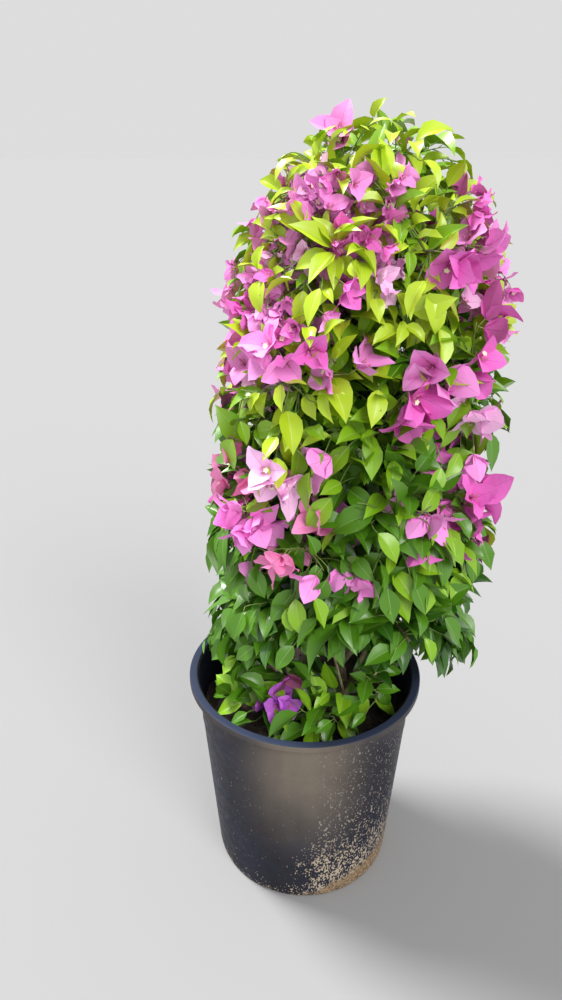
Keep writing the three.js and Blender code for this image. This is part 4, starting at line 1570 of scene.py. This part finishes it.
    def crowd(self, place, number):
        """A twig to a place with finer twigs round its end, two in three of them in flower."""
        rng = random.Random(CROWD_SEED + number)
        mass, twig = self.twig_to(place)
        mood = rng.uniform(0, MOOD)
        self.leaf_out(mass, Path(twig.points[-3:]), mood, True, rng)
        for i, turn in enumerate(turns(CROWD_TWIGS, rng)):
            share = CROWD_FROM + CROWD_SHARE * i / CROWD_TWIGS
            fine = self.find_twig(mass, twig, share, turn, CROWD_LENGTH, TWIG_SPREAD, rng)
            self.clothe_fine(mass, fine, mood, i % 3 > 0, rng)

    def bare_stem(self, shape, knots, radii):
        """A stem without leaves, that none hides near its foot."""
        line = spline(knots, BARE_STEPS)
        add_limb(shape, line, tapered(*radii), BARE_SIDES, len(line.points) - 1)
        for share in BARE_SHOWN:
            self.keep_open(line.at(share), STEM_SIGHT_ROOM, STEM_SIGHT_STEPS)

    def keep_open(self, place, room, steps):
        """Keeps leaves from growing in front of a place, where it is seen from."""
        toward = (CAMERA_PLACE - place).normalized()
        for step in range(1, steps):
            self.claim([place + toward * (SIGHT_STEP * step)], room)


def cell_of(point):
    return tuple(int(math.floor(value / CLAIM_CELL)) for value in point)


def bract_colour(mass, place, rng):
    """The flowers' colour by where their spray is: paler and rosier low on the left, deeper on the
    right."""
    if mass.within is in_pot:
        return "bracts_spent"
    if place.z < ROSY_BELOW and place.x < ROSY_LEFT_OF:
        return rng.choice(ROSY_BRACTS)
    return rng.choice(DEEP_BRACTS if place.x > DEEP_RIGHT_OF else USUAL_BRACTS)


def lift_at(place, patches):
    """What the patches add at a place, less and less away from their middles."""
    away = [(place - patch.place).length / patch.reach for patch in patches]
    return sum(patch.lift * math.exp(-share * share) for patch, share in zip(patches, away))


def bloom_chance(mass, place):
    """How likely a twig is to flower, from its mass's rule and where in the crown it is."""
    if mass.within is in_pot:
        return mass.rule.bloom
    return mass.rule.bloom + lift_at(place, BLOOM_PATCHES)


def leaf_colour(youth_and_light):
    return next((name for name, least in LEAST_YOUTH_AND_LIGHT.items() if youth_and_light > least), "leaves_deep")


def scatter(rng):
    return Vector((rng.uniform(-1, 1), rng.uniform(-1, 1), rng.uniform(-1, 1)))


def droop_at(mass, point):
    """How far twigs and leaves hang, which is less high in the crown."""
    return mass.rule.droop * lerp(1.0, LEVEL_DROOP, smoothstep(point.z, *LEVEL_LEAVES))


def outward_from(mass, point):
    """The level direction out of the crown, or out of the pot for what grows low in it."""
    return level(point - (TRUNK_FOOT if mass.within is in_pot else crown_axis(point.z)))


def within_outline(mass, tip, ragged=True):
    """Whether a leaf's or flower's tip keeps to the plant's outline and reach. A ragged outline has
    hollows between its sprays; one that isn't lets a tip stand out a little further."""
    if any(not CAD_BOX[0][i] - REACH_PLAY < tip[i] < CAD_BOX[1][i] + REACH_PLAY for i in range(2)):
        return False
    if mass.within is in_pot:
        return tip.z > SOIL_LEVEL - SOIL_TOUCH and math.hypot(tip.x, tip.y) < SHOOT_REACH + SHOOT_PLAY
    if not lowest_leaf(tip) - HANG < tip.z < CROWN_TOP + TIP_PLAY:
        return False
    play = SHOW_PLAY
    if ragged:
        play = TIP_PLAY - HOLLOW_DEPTH * max(0.0, noise.noise(tip * HOLLOW_SCALE))
    return out_from_axis(tip) < crown_radius(min(tip.z, CROWN_TOP - TOP_INSET)) + play


# What stands out in the crown


@dataclass
class Show:
    """A cluster of flowers in full view."""
    place: Vector
    flowers: int
    colour: str
    droop: float
    size: float = 1.0
    clear: float = SIGHT_ROOM


@dataclass
class Fan:
    """The end of a leafy shoot in full view."""
    place: Vector
    leaves: int
    size: float
    mood: float


@dataclass
class Patch:
    """A part of the crown with more flowers, or paler leaves, partly younger and partly painted light,
    than its rule gives, or fewer.
    """
    place: Vector
    reach: float
    lift: float


SHOWS = [
    Show(at(0.032, -0.184, 0.855), 2, "bracts_pink", 1.1, 1.2),
    Show(at(0.057, -0.184, 0.788), 2, "bracts_pink", 0.8),
    Show(at(-0.085, -0.130, 0.742), 7, "bracts_pink", 0.4, 1.1),
    Show(at(-0.052, -0.150, 0.814), 3, "bracts_pale", 0.3),
    Show(at(-0.036, -0.167, 0.708), 3, "bracts_rose", 1.0),
    Show(at(0.017, -0.178, 0.682), 2, "bracts_pink", 1.1, 0.9),
    Show(at(0.041, -0.172, 0.956), 2, "bracts_pink", 0.4),
    Show(at(0.116, -0.172, 0.935), 6, "bracts_magenta", 0.4, 1.1),
    Show(at(0.151, -0.158, 0.960), 3, "bracts_pink", 0.3),
    Show(at(0.198, -0.128, 0.962), 3, "bracts_magenta", 0.3),
    Show(at(0.205, -0.130, 0.895), 3, "bracts_pale", 0.4),
    Show(at(0.208, -0.105, 1.006), 3, "bracts_magenta", 0.3, 0.95),
    Show(at(0.170, -0.124, 1.086), 3, "bracts_magenta", 0.3, 0.95),
    Show(at(0.205, -0.084, 1.092), 3, "bracts_pink", 0.3, 0.95),
    Show(at(-0.047, -0.134, 0.981), 3, "bracts_pink", 0.2, 0.85),
    Show(at(-0.009, -0.158, 0.991), 3, "bracts_magenta", 0.2, 0.85),
    Show(at(0.160, -0.165, 0.774), 4, "bracts_pink", 0.6),
    Show(at(0.218, -0.118, 0.767), 4, "bracts_magenta", 0.5),
    Show(at(0.146, -0.172, 0.729), 3, "bracts_magenta", 0.8),
    Show(at(0.076, -0.130, 1.149), 3, "bracts_pale", 0.3, 0.95),
    Show(at(0.040, 0.010, 1.212), 2, "bracts_pink", -0.2, 0.8),
    Show(at(-0.040, -0.086, 0.372), 5, "bracts_spent", -0.5, 0.85, 0.078),
    Show(at(-0.034, -0.056, 0.424), 2, "bracts_dusky", 0.0, 1.1, 0.070),
]
# Crowds of small flowers in the top of the crown
CROWDS = [
    at(-0.049, -0.057, 1.142),
    at(-0.019, -0.105, 1.125),
    at(-0.062, -0.072, 1.102),
    at(-0.031, -0.115, 1.082),
    at(0.010, -0.125, 1.115),
    at(-0.071, -0.084, 1.057),
    at(0.034, -0.105, 1.165),
    at(0.069, -0.110, 1.170),
    at(-0.004, -0.085, 1.165),
    at(0.095, -0.125, 1.142),
    at(0.059, -0.150, 1.090),
    at(-0.019, -0.135, 1.051),
    at(0.185, -0.070, 1.150),
]
FANS = [
    Fan(at(0.027, -0.135, 1.098), 7, 1.45, 0.05),
    Fan(at(0.078, -0.172, 0.945), 4, 1.15, 0.10),
    Fan(at(-0.043, -0.160, 0.944), 5, 1.25, 0.0),
    Fan(at(0.104, -0.158, 1.012), 5, 1.0, 0.15),
    Fan(at(0.147, -0.100, 1.092), 5, 1.0, 0.2),
]
# Bare stems beside the trunk's foot: two pale shoots and an old branch cut short
PALE_STEMS = [
    [at(0.067, -0.024, 0.322), at(0.070, -0.050, 0.346), at(0.059, -0.055, 0.395),
     at(0.047, -0.060, 0.446), at(0.030, -0.070, 0.520)],
    [at(0.074, -0.020, 0.330), at(0.096, -0.050, 0.362), at(0.119, -0.052, 0.416),
     at(0.124, -0.050, 0.459), at(0.130, -0.040, 0.530)],
]
PALE_STEM_RADII = (0.0026, 0.0017)
CUT_BRANCH_RADII = (0.0044, 0.0036)
CUT_BRANCH = [at(0.064, -0.018, 0.345), at(0.078, -0.040, 0.390), at(0.109, -0.042, 0.476)]
# Where the crown flowers more than its rule, all over the top, at the back and low on the left and the
# right, and where less, at its very tip, in the middle and low at the front
BLOOM_PATCHES = [
    Patch(at(0.080, 0.010, 1.225), 0.065, -0.45),
    Patch(at(0.215, -0.080, 0.960), 0.110, -0.25),
    Patch(at(0.020, -0.090, 1.170), 0.110, 0.22),
    Patch(at(-0.060, -0.080, 1.060), 0.120, 0.26),
    Patch(at(0.080, -0.150, 1.000), 0.100, -0.30),
    Patch(at(0.060, -0.160, 0.880), 0.100, -0.25),
    Patch(at(0.010, -0.150, 0.590), 0.110, -0.45),
    Patch(at(0.130, -0.140, 0.600), 0.100, -0.30),
    Patch(at(0.130, 0.100, 1.120), 0.140, 0.25),
    Patch(at(-0.110, -0.090, 0.770), 0.080, 0.20),
    Patch(at(0.210, -0.020, 0.800), 0.100, 0.25),
    Patch(at(0.080, 0.180, 0.930), 0.150, 0.22),
    Patch(at(-0.080, 0.140, 0.740), 0.120, 0.22),
]
# Where leaves are paler lime than their place gives: partly younger leaves and partly painted light.
LIME_PATCHES = [
    Patch(at(-0.060, -0.150, 0.940), 0.085, 0.34),
    Patch(at(0.046, -0.150, 1.076), 0.060, 0.25),
]


# The stage

FLOOR_GREY = (0.321, 0.3215, 0.330, 1.0)
FLOOR_SIZE = 200
WHITE = (1.0, 1.0, 1.0, 1.0)
SKY_STRENGTH = 0.725


@dataclass
class Sun:
    """A soft distant light: how far from overhead it stands, its bearing, and how wide it is."""
    name: str
    down: float
    turn: float
    strength: float
    spread: float
    colour: tuple


SUNS = [
    Sun("key", 34, 150, 4.6, 19, (1.0, 0.985, 0.96)),
    Sun("front", 52, -60, 1.9, 30, (1.0, 0.99, 0.97)),
]


def make_floor():
    look = Finish("floor_pale", FLOOR_GREY, 1.0, Specular_IOR_Level=0.0)
    bpy.ops.mesh.primitive_plane_add(size=FLOOR_SIZE)
    floor = bpy.context.object
    floor.name = "floor"
    floor.data.materials.append(look.material)


def make_sky():
    world = bpy.data.worlds.new("studio")
    world.use_nodes = True
    sky = world.node_tree.nodes["Background"]
    sky.inputs["Color"].default_value = WHITE
    sky.inputs["Strength"].default_value = SKY_STRENGTH
    bpy.context.scene.world = world


def make_sun(sun):
    lamp = bpy.data.lights.new(sun.name, "SUN")
    lamp.energy = sun.strength
    lamp.angle = math.radians(sun.spread)
    lamp.color = sun.colour
    light = bpy.data.objects.new(sun.name, lamp)
    light.rotation_euler = (0, math.radians(sun.down), math.radians(sun.turn))
    bpy.context.scene.collection.objects.link(light)


def make_camera():
    camera = bpy.data.objects.new("camera", bpy.data.cameras.new("camera"))
    camera.location = CAMERA_PLACE
    camera.rotation_euler = (math.radians(90 - CAMERA_DOWN), 0, 0)
    camera.data.sensor_width = SENSOR
    camera.data.lens = SENSOR * FOCAL_PIXELS / max(IMAGE_SIZE)
    bpy.context.scene.collection.objects.link(camera)
    bpy.context.scene.camera = camera


def make_stage():
    """A pale floor that meets a pale sky, one soft high light from behind on the left, and a weaker
    one from the front."""
    bpy.context.scene.view_settings.view_transform = "Standard"
    make_floor()
    make_sky()
    for sun in SUNS:
        make_sun(sun)
    make_camera()


# The whole plant


def grow_shows(plant):
    """What stands out, before the masses fill the rest of the crown."""
    for knots in PALE_STEMS:
        plant.bare_stem(plant.pale, knots, PALE_STEM_RADII)
    plant.bare_stem(plant.woody, CUT_BRANCH, CUT_BRANCH_RADII)
    show_twigs = [plant.show(cluster, number) for number, cluster in enumerate(SHOWS)]
    for cluster in SHOWS:
        plant.keep_open(cluster.place, cluster.clear, SIGHT_STEPS)
    for number, fan in enumerate(FANS):
        plant.fan_out(fan, number)
    for number, place in enumerate(CROWDS):
        plant.crowd(place, number)
    for number, (mass, twig) in enumerate(show_twigs):
        rng = random.Random(SHOW_LEAF_SEED + number)
        plant.leaf_out(mass, twig.first(OWN_TWIG_LEAFY), 0.0, False, rng)


def grow_mass(plant, mass):
    """A mass's stem, its twigs by its rule, and the sprays that stand out of it."""
    rule = mass.rule
    start_radius = BOUGH_TIP_RADIUS if mass.name.startswith("leaves_") else STEM_RADIUS
    plant.add_stem(mass.stem, (start_radius, STEM_TIP_RADIUS), woody=mass.within is in_crown)
    rng = random.Random(mass.seed)
    for i, turn in enumerate(turns(rule.twigs, rng)):
        share = lerp(rule.first_twig, TWIG_LAST, i / (rule.twigs - 1))
        twig = plant.find_twig(mass, mass.stem, share, turn, rule.twig_length, TWIG_SPREAD, rng)
        if twig:
            plant.clothe(mass, twig, rng)
    plant.leaf_out(mass, Path(mass.stem.points[-3:]), END_MOOD, rule.bloom > 0.5, rng)
    if mass.within is in_crown:
        for spray in range(SPRAYS):
            plant.add_spray(mass, spray)


def make_twigs(plant):
    """The joined twigs, stalks and tubes, which stand for no solid."""
    twig_green = foliage("twig_green", TWIG_GREEN, STALK_SURFACE)
    stalk_green = foliage("stalk_green", STALK_GREEN, STALK_SURFACE)
    tube_rose = foliage("tube_rose", TUBE_ROSE, STALK_SURFACE)
    star_cream = foliage("star_cream", STAR_CREAM, STALK_SURFACE)
    for name, shape, material, slot in (
            ("twigs_woody", plant.woody, bark("twig_bark", *TWIG_BARK), "bark"),
            ("twigs_pale", plant.pale, bark("twig_pale", *PALE_BARK), "bark"),
            ("twigs_green", plant.green, twig_green, "leaf"),
            ("leaf_stalks", plant.leaf_stalks.shape(), twig_green, "leaf"),
            ("flower_stalks", plant.flower_stalks.shape(), stalk_green, "leaf"),
            ("flower_tubes", plant.tubes.shape(), tube_rose, "bract"),
            ("flower_stars", plant.stars.shape(), star_cream, "bract")):
        shape.build(name, [material])


def make_leaves(plant):
    """The joined leaves, each colour standing for the masses of leaves."""
    masses = [mass.name for mass in plant.masses if not mass.name.startswith("bracts_")]
    for name, colour in LEAF_COLOURS.items():
        # The paler midrib is partly a painted highlight.
        rib = tuple(lerp(value, RIB_PALE_AND_HIGHLIGHT, RIB_SHARE) for value in colour)
        blade = foliage(name, colour, LEAF_SURFACE, Specular_IOR_Level=LEAF_SHEEN)
        piece = plant.leaves[name].shape().build(name, [blade, foliage(f"{name}_rib", rib, RIB_SURFACE)])
        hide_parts(*masses)


def make_bracts(plant):
    """The joined bracts, each colour standing for the masses of flowers, in the crown or the pot."""
    masses = [mass.name for mass in plant.masses if mass.name.startswith("bracts_")]
    for name, colour in BRACT_COLOURS.items():
        spent = name in SPENT_BRACTS
        rib = tuple(value * BRACT_RIB_SHADE for value in colour)
        looks = [foliage(name, colour, BRACT_SURFACE), foliage(f"{name}_rib", rib, BRACT_SURFACE)]
        piece = plant.bracts[name].shape().build(name, looks)
        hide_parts(*[mass for mass in masses if (mass == "bracts_low") == spent])


def make_plant():
    boughs, masses = lay_out()
    wood = bark("bark_grey", *GREY_BARK)
    make_trunk(wood)
    make_boughs(boughs, wood)
    plant = Plant(boughs, masses)
    grow_shows(plant)
    for mass in masses:
        grow_mass(plant, mass)
    make_twigs(plant)
    make_leaves(plant)
    make_bracts(plant)


make_pot()
make_soil()
make_plant()
make_stage()
